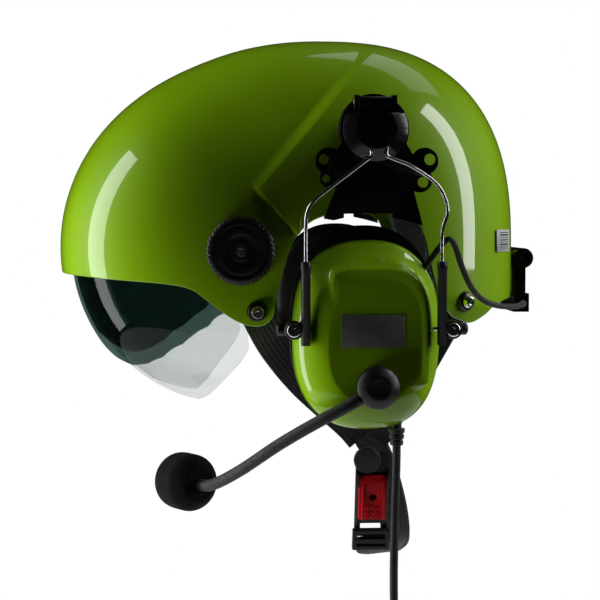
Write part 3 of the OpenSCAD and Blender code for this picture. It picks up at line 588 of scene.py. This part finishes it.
def shell_field(p):
    """The shell's outside as a solid function of points in mm, negative inside."""
    x, y, z = np.abs(p[..., 0]), p[..., 1], p[..., 2]
    front_edge = step_up(-2, 6, ((y - EDGE_Y) * 53 - (z - EDGE_Z) * 46) / 70.2)
    low_edge = step_up(-0.5, 1.5, ((y - EDGE_Y) * 25 + (z - EDGE_Z) * 23) / 34)
    half = NARROW + PROUD * front_edge * low_edge
    front = y < DOME_Y
    q = np.where(front, FRONT_POWER, REAR_POWER)
    a = np.where(front, FRONT, REAR)
    b = np.where(z > DOME_Z, UP, DOWN)
    r = ((np.abs(y - DOME_Y) / a) ** q + (np.abs(z - DOME_Z) / b) ** q) ** (1 / q)
    dome = 120 * ((x / half) ** SIDE_POWER + r ** SIDE_POWER) ** (1 / SIDE_POWER) - 120
    round_knobs = np.hypot(y - AXIS_Y, z - AXIS_Z)
    q = HOUSING_POWER
    housing = 110 * ((x / HOUSING_HALF) ** q + (round_knobs / HOUSING_ROUND) ** q) ** (1 / q) - 110
    blend = 10
    h = np.maximum(blend - np.abs(dome - housing), 0) / blend
    return np.minimum(dome, housing) - h * h * blend / 4


def shell_normal(p):
    """Unit direction in which the shell's function grows fastest."""
    e = 0.25
    g = np.stack([shell_field(p + d) - shell_field(p - d) for d in np.eye(3) * e], -1)
    return g / np.linalg.norm(g, axis=-1)[..., None]


def solve(origin, way, low, high):
    """Distances along each way at which a ray from origin leaves the shell."""
    low, high = np.full(way.shape[:-1], float(low)), np.full(way.shape[:-1], float(high))
    for _ in range(34):
        mid = (low + high) / 2
        inside = shell_field(origin + way * mid[..., None]) < 0
        low, high = np.where(inside, mid, low), np.where(inside, high, mid)
    return (low + high) / 2


CENTRE = np.array([0.0, DOME_Y, DOME_Z])
RIM = [(-260, 33), (-189, 32), (-150, 30), (-120, 28), (-105, 25), (-96, 19), (-87, 12), (-78, 6),
       (-70, 3), (-62, 3), (-56, 8), (-54, 17), (-52, 26), (-49, 38), (-45, 50), (-39, 60),
       (-30, 67), (-15, 70), (20, 70), (28, 69), (33, 64), (37, 53), (40, 41), (44, 27), (49, 15),
       (54, 8), (60, 5), (68, 3), (78, 7), (88, 13), (105, 16), (150, 17)]


def rim_line(spacing):
    """Points of the shell's left rim from the front middle to the back middle."""
    flat = spline(RIM, 0.5)
    field = shell_field(np.stack([np.zeros(len(flat)), flat[:, 0], flat[:, 1]], 1))
    inside = np.nonzero(field < 0)[0]
    ends = []
    for outer, inner in ((inside[0] - 1, inside[0]), (inside[-1] + 1, inside[-1])):
        share = field[inner] / (field[inner] - field[outer])
        ends.append(flat[inner] + share * (flat[outer] - flat[inner]))
    body = flat[inside]
    # more points where the rim crosses the middle plane, because x grows fast there
    first = [ends[0] + (body[12] - ends[0]) * s ** 2 for s in np.linspace(0, 1, 60)]
    last = [ends[1] + (body[-12] - ends[1]) * s ** 2 for s in np.linspace(1, 0, 60)]
    line = np.vstack([first, body[13:-13], last])
    start = np.stack([np.zeros(len(line)), line[:, 0], line[:, 1]], 1)
    x = solve(start, np.broadcast_to(np.array([1.0, 0, 0]), start.shape), 0, 140)
    x[0] = x[-1] = 0
    p = start + np.stack([x, 0 * x, 0 * x], 1)
    run = np.concatenate([[0], np.cumsum(np.linalg.norm(np.diff(p, axis=0), axis=1))])
    at = np.linspace(0, run[-1], int(run[-1] / spacing))
    return np.stack([np.interp(at, run, p[:, k]) for k in range(3)], 1)


def helmet_shell(rows=150, spacing=1.45, wall=3.0):
    """The moulding: rays from the dome's middle, a rounded lip along the rim and a coarser inside."""
    half = rim_line(spacing)
    rim = np.vstack([half, (half * [-1, 1, 1])[-2:0:-1]])
    d = rim - CENTRE
    az = np.arctan2(d[:, 0], -d[:, 1])
    el = np.arctan2(d[:, 2], np.hypot(d[:, 0], d[:, 1]))
    share = np.linspace(0, 1, rows, endpoint=False)
    e = el[None] + (pi / 2 - el[None]) * share[:, None]
    way = np.stack([np.cos(e) * np.sin(az), -np.cos(e) * np.cos(az), np.sin(e)], -1)
    outer = CENTRE + way * solve(CENTRE, way, 40, 260)[..., None]
    n_out = shell_normal(outer)
    n_out[..., 0] = np.where(np.abs(outer[..., 0]) < 1e-6, 0, n_out[..., 0])
    keep = list(range(0, rows, 4))
    inner, n_in = outer[keep] - n_out[keep] * wall, -n_out[keep]
    down = outer[0] - outer[1]
    n0 = n_out[0]
    down -= n0 * np.sum(down * n0, -1)[:, None]
    down /= np.linalg.norm(down, axis=1)[:, None]
    lip, n_lip = [], []
    for turn in np.radians([155, 125, 90, 55, 25]):
        lip.append(outer[0] - n0 * wall / 2 + n0 * cos(turn) * wall / 2 + down * sin(turn) * 1.1)
        n_lip.append(n0 * cos(turn) + down * sin(turn))
    loops = np.concatenate([inner[::-1], np.array(lip), outer])
    normals = np.concatenate([n_in[::-1], np.array(n_lip), n_out])
    cols = loops.shape[1]
    top = CENTRE + np.array([0, 0, 1]) * solve(CENTRE, np.array([[0.0, 0, 1]]), 40, 260)
    points = np.vstack([loops.reshape(-1, 3), top - [0, 0, wall], top])
    every = np.vstack([normals.reshape(-1, 3), [[0, 0, -1], [0, 0, 1]]])
    n = len(loops) * cols
    faces = quads(len(loops), cols)
    faces += [[(j + 1) % cols, j, n] for j in range(cols)]
    faces += [[n - cols + j, n - cols + (j + 1) % cols, n + 1] for j in range(cols)]
    return build("shell_moulding", points, faces, M["paint"], normals=every, outward=False)


put(helmet_shell(), "shell", "shell_paint", "outer_shell")


# ---------------- lining and fit pads
liner = remeshed(copied("inner_liner", "liner_shell", M["lining"]), 2.4, 6, 0.6)
put(liner, "shell", "liner", "inner_liner")
pads = remeshed(copied("fit_pads", "fit_cushions", M["pad"]), 4.0, 3, 0.5)
puffed(pads, lambda co: np.arange(len(co)) % 9 == 0, 2.5, 2.5)
subdivided(pads)
put(pads, "shell", "pad", "fit_pads")


# ---------------- visors
CLEAR_EDGE = [(6, -39), (16, -44), (27, -49), (38, -50), (104, -50)]
CLEAR_SIDE = [(-60, 60), (22, 60), (10, 64), (-4, 66.5), (-14, 69), (-21.5, 73), (-29.4, 79.6),
              (-37, 86), (-44.9, 92.6), (-48.6, 98), (-60, 112)]
TINT_EDGE = [(8, -7), (22, -14), (36, -22), (50, -26), (62, -24), (72, -19), (81, -10), (84, -5),
             (87, 1), (90, 12), (104, 30)]


VISOR_POWER = 2.7  # how square the visors are across the face
KNOB_BORE, VISOR_EAR = 5.05, 23  # radii of the bore and of the round ear at each knob


def visor(name, radius, half, low, high, edge, thick, mat, behind=None):
    """A curved sheet about the knobs' axis with its two ear rings. It runs from the angle high down
    to low or to its edge, whose rows are (x, z), and stays in front of behind, rows (z, -y)."""
    edge = np.asarray(edge, float)
    u = np.linspace(-1, 1, 201)
    t = np.radians(84) * np.sign(u) * np.abs(u) ** 1.35
    share = np.linspace(0, 1, 64)

    def profile(r0, x0):
        return (r0 * np.cos(t) ** (2 / VISOR_POWER),
                x0 * np.sign(t) * np.abs(np.sin(t)) ** (2 / VISOR_POWER))

    r, x = profile(radius, half)
    ways = np.radians(np.linspace(high, low, 2000))
    y = AXIS_Y - r[:, None] * np.cos(ways)
    z = AXIS_Z + r[:, None] * np.sin(ways)
    kept = z - np.interp(np.abs(x), edge[:, 0], edge[:, 1])[:, None]
    if behind:
        line = np.asarray(sorted(behind), float)
        kept = np.minimum(kept, -y - np.interp(z, line[:, 0], line[:, 1]))
    gone = np.argmax(kept < 0, 1)
    each = np.arange(len(x))
    last = np.where(gone > 0, gone, len(ways) - 1)
    here, before = kept[each, last], kept[each, last - 1]
    part = np.where(gone > 0, before / np.maximum(before - here, 1e-9), 1)
    stop = ways[last - 1] + (ways[last] - ways[last - 1]) * part

    def sheet(r0, x0):
        r, x = profile(r0, x0)
        turn = stop[:, None] + (radians(high) - stop[:, None]) * share[None]
        return np.stack([np.broadcast_to(x[:, None], turn.shape), AXIS_Y - r[:, None] * np.cos(turn),
                         AXIS_Z + r[:, None] * np.sin(turn)], -1)

    outside, inside = sheet(radius, half), sheet(radius - thick, half - thick)
    loops = np.concatenate([outside, inside[:, ::-1]], 1)
    rows, cols = loops.shape[:2]
    faces = quads(rows, cols)
    for base in (0, (rows - 1) * cols):
        faces += [[base + i, base + i + 1, base + cols - 2 - i, base + cols - 1 - i]
                  for i in range(len(share) - 1)]
    points = loops.reshape(-1, 3)
    n = 96
    a = np.linspace(0, 2 * pi, n, endpoint=False)
    for side in (-1, 1):
        ear = [np.stack([np.full(n, side * x), AXIS_Y + r * np.cos(a), AXIS_Z + r * np.sin(a)], 1)
               for x, r in ((half - thick, KNOB_BORE), (half - thick, VISOR_EAR), (half, VISOR_EAR),
                            (half, KNOB_BORE))]
        base = len(points)
        points = np.vstack([points, np.concatenate(ear)])
        faces += quads(4, n, base)
        top = base + 3 * n
        faces += [[top + j, top + (j + 1) % n, base + (j + 1) % n, base + j] for j in range(n)]
    return build(name, points, faces, mat)


put(visor("visor_clear_sheet", 102, 88, -96, 8, CLEAR_EDGE, 2, M["clear"], CLEAR_SIDE), "clear",
    "clear_visor", "visor_clear")
put(visor("visor_tint_sheet", 106, 91.5, -84, 11, TINT_EDGE, 2, M["tint"]), "tint", "tinted_visor",
    "visor_tint")


# ---------------- visor knobs
def knurl(a, x, r):
    """Forty saw-like teeth of uneven depth round the rim of the knob."""
    turned = a * 40 / (2 * pi)
    tooth, count = turned % 1.0, np.floor(turned)
    depth = 0.75 + 0.35 * np.sin(count * 2.3) * np.sin(count * 0.7)
    cut = np.clip((tooth - 0.12) / 0.88, 0, 1) * depth
    return r - cut * step_up(17.5, 19.8, r)


KNOB = [(84.6, 4.2), (85, 4.9), (112.6, 5), (112.62, 18.4), (112.9, 19.6), (113.3, 20.3), (115, 20.5),
        (117, 20.5), (117.7, 20.1), (118.3, 19.1), (118.8, 17.9), (119, 17.2), (119, 15.2), (118.85, 15.0),
        (118.85, 14.6), (119, 14.4), (119, 9.6), (118.7, 9.2), (118.7, 6.2), (118.9, 5.9), (118.9, 3.5),
        (118.6, 3.2), (116.7, 3.2)]
knob = put(lathe("visor_knob_left", KNOB, M["black"], (AXIS_Y, AXIS_Z), 480, knurl), "tint", "black_plastic",
           "knob_left")
put(mirrored(knob, "visor_knob_right"), "clear", "black_plastic", "knob_right")
refined("knob_screw_left", "knob_bolt_left", M["steel"], 0.15, 2, "tint", "steel")
refined("knob_screw_right", "knob_bolt_right", M["steel"], 0.15, 2, "clear", "steel")
refined("pivot_bushes", "pivot_bearings", M["black"], 0.25, 2, "shell", "black_plastic")
refined("anchor_washers", "anchor_cups", M["gloss"], 0.35, 3, "shell", "black_plastic")
refined("anchor_bolts", "anchor_screws", M["steel"], 0.25, 3, "shell", "steel")


# ---------------- arms
for s, hand in (("l", "left"), ("r", "right")):
    refined(f"arm_mount_{hand}", f"arm_bracket_{hand}", M["gloss"], 0.5, 3, "shell", "black_plastic")
    refined(f"hub_{hand}", f"arm_hub_{hand}", M["gloss"], 0.5, 3, f"hub_{s}", "black_plastic")
    refined(f"yoke_block_{hand}", f"arm_boss_{hand}", M["gloss"], 0.9, 4, f"yoke_{s}", "black_plastic", 25)
    refined(f"hinge_pin_{hand}", f"arm_pin_{hand}", M["steel"], 0.3, 2, f"hub_{s}", "steel")
    refined(f"tilt_pins_{hand}", f"cup_pivots_{hand}", M["steel"], 0.3, 2, f"slider_{s}", "steel")
    refined(f"driver_{hand}", f"ear_driver_{hand}", M["black"], 0.3, 2, f"cup_{s}", "black_plastic")
refined("mount_bolts", "bracket_bolts", M["steel"], 0.3, 2, "shell", "steel")

WIRE_FRONT = [(129, 0.5, 113), (129, 0.5, 107), (129, 0.5, 102.5), (129, -5, 98), (129, -20, 86.5),
              (129, -32, 77), (129, -36.5, 70.5), (129, -37.6, 60), (129, -37.6, 30), (129, -37.6, -2)]
WIRE_REAR = [(129, 9.5, 113), (129, 9.5, 107), (129, 9.7, 102.8), (129, 14, 100.5), (129, 24, 96.5),
             (129, 37, 88), (129, 43, 80), (129, 45.5, 70), (129, 42.4, 58), (129, 42.4, 30),
             (129, 42.4, -2)]
for s, hand, sign in (("l", "left", 1), ("r", "right", -1)):
    for k, route in (("front", WIRE_FRONT), ("rear", WIRE_REAR)):
        wire = tube(f"yoke_wire_{k}_{hand}", spline([(sign * x, y, z) for x, y, z in route], 1.0), 1.1,
                    M["steel"], 20)
        put(wire, f"yoke_{s}", "wire", f"yoke_wires_{hand}")

SLEEVE = [(0, 1.2), (0, 2.5), (0.4, 2.8), (44, 2.8), (44.4, 3.1), (48.4, 3.1), (49, 2.7), (49, 1.2)]
BOSS = [(119.6, 1.5), (119.6, 4.6), (120.4, 5.3), (127.4, 5.6), (128.6, 5.6), (129.2, 5.1), (129.2, 3)]
SCREW = [(128.4, 2.6), (129.1, 3.4), (129.3, 4.2), (130.1, 4.3), (130.7, 4), (131, 3.4), (131.1, 2.4),
         (131.1, 1.4), (130.7, 1.2), (130.4, 1.1), (130.4, 0.3)]
for k, y, clamp, way in (("front", -37.6, -44.4, -1), ("rear", 42.4, 49, 1)):
    sleeve = put(lathe(f"wire_sleeve_{k}_left", SLEEVE, M["black"], (0, 0), 48,
                       matrix=upright(0.129, y * MM, -0.008)), "slider_l", "black_plastic", "sliders_left")
    boss = put(lathe(f"clamp_boss_{k}_left", BOSS, M["black"], (clamp, 1), 64), "slider_l",
               "black_plastic", "sliders_left")
    lug = put(tube(f"pivot_lug_{k}_left", np.array([(120, clamp + way * v, 1) for v in (0.6, 3, 6, 8.6)]),
                   3.7, M["black"], 40), "slider_l", "black_plastic", "sliders_left")
    screw = put(lathe(f"clamp_screw_{k}_left", SCREW, M["steel"], (clamp, 1), 64), "slider_l", "steel",
                "slider_screws_left")
    for ob, what, slot, node in ((sleeve, "wire_sleeve", "black_plastic", "sliders_right"),
                                 (boss, "clamp_boss", "black_plastic", "sliders_right"),
                                 (lug, "pivot_lug", "black_plastic", "sliders_right"),
                                 (screw, "clamp_screw", "steel", "slider_screws_right")):
        put(mirrored(ob, f"{what}_{k}_right"), "slider_r", slot, node)


# ---------------- ear cups
def oval(section, cols):
    """A loop across X; section is (x, half width, half height, middle y, middle z, power)."""
    x, w, h, cy, cz, power = section
    a = np.linspace(0, 2 * pi, cols, endpoint=False)
    c, v = np.cos(a), np.sin(a)
    return np.stack([np.full(cols, x), cy + w * np.sign(c) * np.abs(c) ** (2 / power),
                     cz + h * np.sign(v) * np.abs(v) ** (2 / power)], 1)


CUP = [(96, 40.6, 53.1, -0.2, -3, 2.5), (100.3, 43.2, 55.7, -0.2, -3, 2.5),
       (105, 44, 56.5, -0.2, -3, 2.5), (111.8, 43.6, 56.1, -0.2, -3, 2.5),
       (115.4, 41.8, 54.3, -0.2, -3, 2.6), (119, 38.8, 51.1, 0.4, -4, 2.7),
       (123.4, 36, 47.7, 1.2, -5.6, 3), (127, 34.8, 45.7, 1.9, -6.9, 3.3),
       (129.8, 33.4, 43.9, 1.9, -7.5, 3.4), (132, 29, 38.5, 1.9, -7.5, 3.2)]


SOFT_FROM, CUP_FACE = 110, 132  # X at the start of the soft shoulder and at the cup's outer face


def cup_loop(section, cols=200):
    """One ring of the housing: a crisp shoulder above and behind, a soft round one elsewhere."""
    hard = oval(section, cols)
    s = step_up(SOFT_FROM, CUP_FACE, section[0])
    if s <= 0:
        return hard
    f = radians(90) * (section[0] - SOFT_FROM) / (CUP_FACE - SOFT_FROM)
    k = 0.6 + 0.4 * cos(f) ** 1.6
    soft = oval((111.8 + 20.2 * sin(f), 43.6 * k, 56.1 * k, -0.2 + 2.1 * s, -3 - 4.5 * s, 2.5), cols)
    a = np.linspace(0, 2 * pi, cols, endpoint=False)
    crisp = step_up(-0.1, 0.4, np.cos(a - radians(52)))[:, None]
    blend = 1 - (1 - crisp) * min(1, (section[0] - SOFT_FROM) / 2)
    return soft + (hard - soft) * blend


cup_rows = spline(CUP, 0.6)
loops = [cup_loop(r) for r in cup_rows]
middle = np.array([CUP_FACE, 1.9, -7.5])
loops += [middle + (loops[-1] - middle) * [1, k, k] for k in (0.94, 0.85, 0.7, 0.5, 0.3, 0.12)]
cup = put(rings("cup_housing_left", loops, M["paint"], sharp=60), "cup_l", "shell_paint", "cup_shell_left")
put(mirrored(cup, "cup_housing_right"), "cup_r", "shell_paint", "cup_shell_right")


def ring_loops(outside, hole, middle_z, cols):
    """Loops of a ring over the ear: the rows of its outside, then of its hole, each (x, w, h)."""
    return ([oval((*row, -0.2, middle_z, 2.3), cols) for row in outside]
            + [oval((*row, -0.2, 0.5, 2.2), cols) for row in hole])


FRAME_OUTSIDE = [(92.6, 44.2, 60.9), (92.9, 44.8, 61.5), (93.4, 45, 61.7), (95.2, 45, 61.7),
                 (95.7, 44.7, 61.4), (95.9, 44.2, 60.9)]
FRAME_HOLE = [(95.9, 19.4, 29.4), (95.6, 19, 29), (92.9, 19, 29), (92.6, 19.4, 29.4)]
plate = rings("cup_frame_left", ring_loops(FRAME_OUTSIDE, FRAME_HOLE, 0.3, 160), M["black"], closed=True)
put(plate, "cup_l", "black_plastic", "cup_plate_left")
put(mirrored(plate, "cup_frame_right"), "cup_r", "black_plastic", "cup_plate_right")

CUSHION_OUTSIDE = [(92.2, 42.5, 59.6), (91, 43.4, 60.7), (88, 43.4, 60.8), (84.5, 42.4, 59.8),
                   (82, 40, 57.4), (80.7, 36.5, 53.5)]
CUSHION_HOLE = [(80.7, 29, 45.5), (81.6, 25.5, 41), (84, 22.8, 37), (88, 21.6, 34), (92.2, 21.2, 33.2)]
cushion = rings("ear_cushion_left", ring_loops(CUSHION_OUTSIDE, CUSHION_HOLE, 0.5, 120), M["cushion"],
                closed=True)
remeshed(cushion, 3.2, 2, 0.5)
puffed(cushion, lambda co: co[:, 0] > 0.0905, 3.5)
subdivided(cushion)
co = coordinates(cushion)
co[:, 0] = np.clip(co[:, 0], 0.0796, 0.0924)
move_to(cushion, co)
put(cushion, "cup_l", "cushion", "cushion_left")
twin = put(mirrored(cushion, "ear_cushion_right"), "cup_r", "cushion", "cushion_right")

for s, hand in (("l", "left"), ("r", "right")):
    foam = remeshed(copied(f"damping_foam_{hand}", f"damping_pad_{hand}", M["foam"]), 2.5, 3)
    put(foam, f"cup_{s}", "foam", f"damping_foam_{hand}")

refined("rating_plate", "blank_plate", M["plate"], 0.15, 2, "cup_l", "plate_film")

# ---------------- microphone boom
HUB = [(126.3, 3.2), (126.6, 4), (132.2, 4), (132.35, 11.6), (132.7, 12.3), (133.4, 12.5), (136.2, 12.5),
       (136.5, 12.1), (136.9, 12.1), (137.2, 12.5), (139.3, 12.5), (140, 12.1), (141.8, 9.6), (143.1, 7.6),
       (143.4, 6.8), (143.5, 5.5), (143.3, 5.1), (143.3, 1)]


def serrated(a, x, r):
    """Thirty-six shallow grooves round the flange of the boom's hub next to the cup."""
    return r - 0.35 * (np.cos(a * 36) > 0.2) * (12.2 < r) * (x < 136)


put(lathe("boom_pivot", HUB, M["black"], (4, -32), 216, serrated), "boom", "black_plastic", "boom_hub")
BOOM = [(136.7, -7, -38.8), (136.4, -16, -44), (132, -30, -52), (118, -52, -67), (96, -75, -86),
        (74, -91.3, -98), (60, -100, -100)]
put(tube("boom_sleeve", spline(BOOM, 0.8), lambda u, s: 3.75 - 0.18 * step_up(0.02, 0.05, u)
         + 0.06 * sin(s * 2 * pi / 2.4), M["rubber"], 32), "boom", "boom_sleeve", "boom_tube")
MIC = (Matrix.Translation((0.06, -0.1, -0.1))
       @ Matrix.Rotation(radians(32), 4, "Z") @ Matrix.Rotation(radians(-180), 4, "Y"))
refined("mic_capsule", "mic_body", M["black"], 0.4, 3, "boom", "black_plastic")
FOAM = [(-3, 6.2), (-3, 10), (-1.6, 12.2), (0.8, 14.4), (3.6, 16.4), (6.2, 17.6), (9, 18), (14, 18),
        (19, 18), (23, 17.4), (26.4, 15.4), (28.4, 13), (29, 10.4), (29, 5), (29, 1)]
shape = lathe("foam_windshield", spline(FOAM, 0.7), M["foam"], (0, 0), 144, matrix=MIC, sharp=180)
put(shape, "boom", "foam", "windshield")

# ---------------- lead between the cups
LEAD = [(112, 29.5, 31.5), (114, 36, 39.7), (117, 43.5, 50), (118, 48, 54), (116, 52, 50), (110, 57, 38),
        (103, 64, 25), (94, 73, 16.5), (84, 84, 12.5), (68, 97, 11), (50, 106, 11), (32, 111, 11),
        (20, 111, 11)]
for s, hand, sign in (("l", "left", 1), ("r", "right", -1)):
    knots = np.array(LEAD) * [sign, 1, 1]
    path = spline(knots, 1.5)
    at = [int(np.argmin(np.linalg.norm(path - k, axis=1))) for k in knots]
    for name, a, b, one, two in (("cup", 0, 1, f"slider_{s}", f"cup_{s}"),
                                 ("loop", 1, 3, f"yoke_{s}", f"slider_{s}"),
                                 ("sag", 3, 8, f"hub_{s}", f"yoke_{s}"),
                                 ("nape", 8, 9, "shell", f"hub_{s}"),
                                 ("clip", 9, 12, "shell", None)):
        piece = tube(f"lead_{name}_{hand}", path[at[a]:at[b] + 1], 1.8, M["rubber"], 16, round_ends=False)
        if two:
            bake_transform(piece)
        else:
            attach(piece, one)
        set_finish(piece, "cable")
        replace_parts(piece, f"lead_{hand}")

refined("rear_clip", "nape_clip", M["gloss"], 0.7, 3, "shell", "black_plastic")


# ---------------- label
def flat_axes(ob, outward=None, upward=None):
    """For a flat piece, in mm: its middle, its long, cross and outward directions, how far it
    reaches along the first two, and how far it rises along the third."""
    spots = coordinates(ob) * 1000
    centre = spots.mean(0)
    spots = spots - centre
    long, cross, out = np.linalg.svd(spots)[2]
    out = out * np.sign(out @ (centre if outward is None else outward))
    if upward is not None:
        long = long * np.sign(long @ upward)
    sizes = np.abs(spots @ long).max(), np.abs(spots @ cross).max(), (spots @ out).max()
    return centre, long, cross, out, *sizes


label = refined("asset_label", "side_label", M["label"], 0.1, 1, "shell", "label_film")
middle, along, across, out, reach, half, rise = flat_axes(label)
points, faces = [], []
for k, (place, thick) in enumerate(((-0.72, 0.5), (-0.5, 0.9), (-0.28, 0.4), (-0.06, 0.7), (0.14, 0.4),
                                    (0.34, 1.0), (0.58, 0.5), (0.76, 0.4))):
    for u in (place * half - thick / 2, place * half + thick / 2):
        for v in (-0.5 * reach, 0.82 * reach):
            for w in (rise - 0.05, rise + 0.04):
                points.append(middle + across * u + along * v + out * w)
    faces += [[8 * k + i for i in f] for f in ((0, 1, 3, 2), (4, 6, 7, 5), (0, 4, 5, 1), (2, 3, 7, 6),
                                               (0, 2, 6, 4), (1, 5, 7, 3))]
put(build("label_bars", points, faces, M["ink"]), "shell", "label_film")

# ---------------- chin strap and buckle
FRONT_STRAP = [(98.5, -65, 11), (94, -62, 3), (80, -52, -14), (69, -34, -36), (58, -6, -62), (54, 3, -72)]
REAR_STRAP = [(76, 60, 15.4), (74, 54, 4), (66, 36, -30), (57, 17, -62), (54, 11, -72)]
for hand, sign in (("left", 1), ("right", -1)):
    for k, route, side in (("front", FRONT_STRAP, (0, 1, 1)), ("rear", REAR_STRAP, (0, -1, 1))):
        strap = ribbon(f"strap_{k}_{hand}", [(sign * x, y, z) for x, y, z in route], side, 20, 1.6,
                       M["webbing"])
        put(strap, "shell", "webbing", f"strap_{hand}")
CHIN = [(39.4, 10.5, -138), (33, 12, -147), (20, 18, -152), (0, 26, -155), (-20, 34, -150),
        (-38, 34, -130), (-48, 26, -100), (-51.8, 14, -78)]
put(ribbon("chin_webbing", CHIN, (0, 1, 0.1), 20, 1.6, M["webbing"]), "shell", "webbing", "chin_web")
refined("strap_keeper", "strap_button", M["rubber"], 1.0, 4, "shell", "black_plastic")
refined("buckle_body", "buckle_frame", M["black"], 0.5, 3, "shell", "black_plastic")
refined("buckle_pin", "buckle_axle", M["steel"], 0.3, 2, "shell", "steel")
lever = refined("buckle_lever", "buckle_release", M["red"], 0.6, 3, "buckle", "red_plastic")
middle, along, across, out, reach, half, rise = flat_axes(lever, (1, 0, 0), (0, 0, 1))
points, faces = [], []
turn = np.linspace(0, 2 * pi, 20, endpoint=False)
for u in (-0.42, 0, 0.42):
    for v in (-0.34, -0.54, -0.74):
        base = len(points)
        for r, w in ((0.95, -0.4), (0.95, 0.1), (0.75, 0.4), (0.35, 0.55)):
            points += [middle + across * (u * half + r * cos(b)) + along * (v * reach + r * sin(b))
                       + out * (rise + w) for b in turn]
        faces += quads(4, 20, base)
        faces += [[base + 60 + j for j in range(20)], [base + j for j in range(19, -1, -1)]]
put(build("release_dots", points, faces, M["red"]), "buckle", "red_plastic")
points, faces = [], []
for k, u in enumerate((-0.74, 0.74)):
    for a, r in ((-0.86, 0.3), (-0.8, 0.75), (0.55, 0.75), (0.7, 0.3)):
        for b, w in ((-1, -0.3), (-0.6, 0.5), (0.6, 0.5), (1, -0.3)):
            points.append(middle + across * (u * half + b * r) + along * (a * reach)
                          + out * (rise + w * (r > 0.5)))
    faces += quads(4, 4, 16 * k)
    faces += [[16 * k + i for i in (0, 1, 2, 3)], [16 * k + i for i in (15, 14, 13, 12)]]
put(build("release_ribs", points, faces, M["red"]), "buckle", "red_plastic")
refined("web_adjuster", "strap_slide", M["black"], 0.6, 3, "shell", "black_plastic")


# ---------------- studio
LIT = Vector((0, -0.03, 0.05))


def softbox(name, azimuth, elevation, far, width, height, radiance, mirrored_in_gloss=True):
    """A rectangular light that faces LIT, with angles in degrees and sizes in metres."""
    a, e = radians(azimuth), radians(elevation)
    place = Vector((cos(a) * cos(e), sin(a) * cos(e), sin(e))) * far + LIT
    data = bpy.data.lights.new(name, "AREA")
    data.shape = "RECTANGLE"
    data.size, data.size_y = width, height
    data.energy = radiance * pi * width * height
    ob = bpy.data.objects.new(name, data)
    scene.collection.objects.link(ob)
    aim(ob, place, LIT)
    ob.visible_camera = False
    ob.visible_transmission = False
    ob.visible_glossy = mirrored_in_gloss


softbox("front_strip", -95.5, 3, 2.0, 0.66, 3.2, 5.0)
softbox("rear_strip", 84, 25, 2.0, 0.42, 2.1, 7.0)
softbox("top_panel", 138, 58, 2.0, 1.3, 0.6, 0.7)
softbox("front_wash", -110, 6, 2.2, 1.0, 2.4, 4.9, mirrored_in_gloss=False)
softbox("rear_wash", 116, 10, 2.2, 1.2, 2.4, 3.5, mirrored_in_gloss=False)
softbox("low_kicker", -62, -44, 0.6, 0.26, 0.4, 4.2, mirrored_in_gloss=False)

world = bpy.data.worlds.new("studio")
scene.world = world
world.use_nodes = True
world.node_tree.nodes.clear()
add, join = node_tools(world)
split = add("ShaderNodeSeparateXYZ")
join(add("ShaderNodeTexCoord").outputs["Generated"], split.inputs["Vector"])
soft, white = (add("ShaderNodeBackground", Color=(1, 1, 1, 1)) for _ in range(2))
join(mapped(world, split.outputs["X"], 0.12, -0.3, 0.006, 0.004, "SMOOTHSTEP"), soft.inputs["Strength"])
# the backdrop is white to the camera and through the visors, and nearly dark to everything else
ray = add("ShaderNodeLightPath")
either = add("ShaderNodeMath", operation="MAXIMUM")
join(ray.outputs["Is Camera Ray"], either.inputs[0])
join(ray.outputs["Is Transmission Ray"], either.inputs[1])
pick = add("ShaderNodeMixShader")
for n, node in enumerate((either, soft, white)):
    join(node.outputs[0], pick.inputs[n])
join(pick.outputs[0], add("ShaderNodeOutputWorld").inputs[0])

FLOOR_Z, SPOKES = -456, 96
floor_points = [(0, -30, FLOOR_Z)] + [(r * cos(a), r * sin(a) - 30, FLOOR_Z - (r / 700) ** 4)
                                      for r in (150, 300, 450, 600, 700)
                                      for a in np.linspace(0, 2 * pi, SPOKES, endpoint=False)]
floor_faces = [[0, 1 + j, 1 + (j + 1) % SPOKES] for j in range(SPOKES)] + quads(5, SPOKES, 1)
M["floor"] = material("studio_floor", (0.8, 0.8, 0.8), (0.83, 0.83, 0.83), (0.6, 0.7), mix_scale=3.0)
ground = build("studio_floor", floor_points, floor_faces, M["floor"], outward=False)
ground.visible_diffuse = False
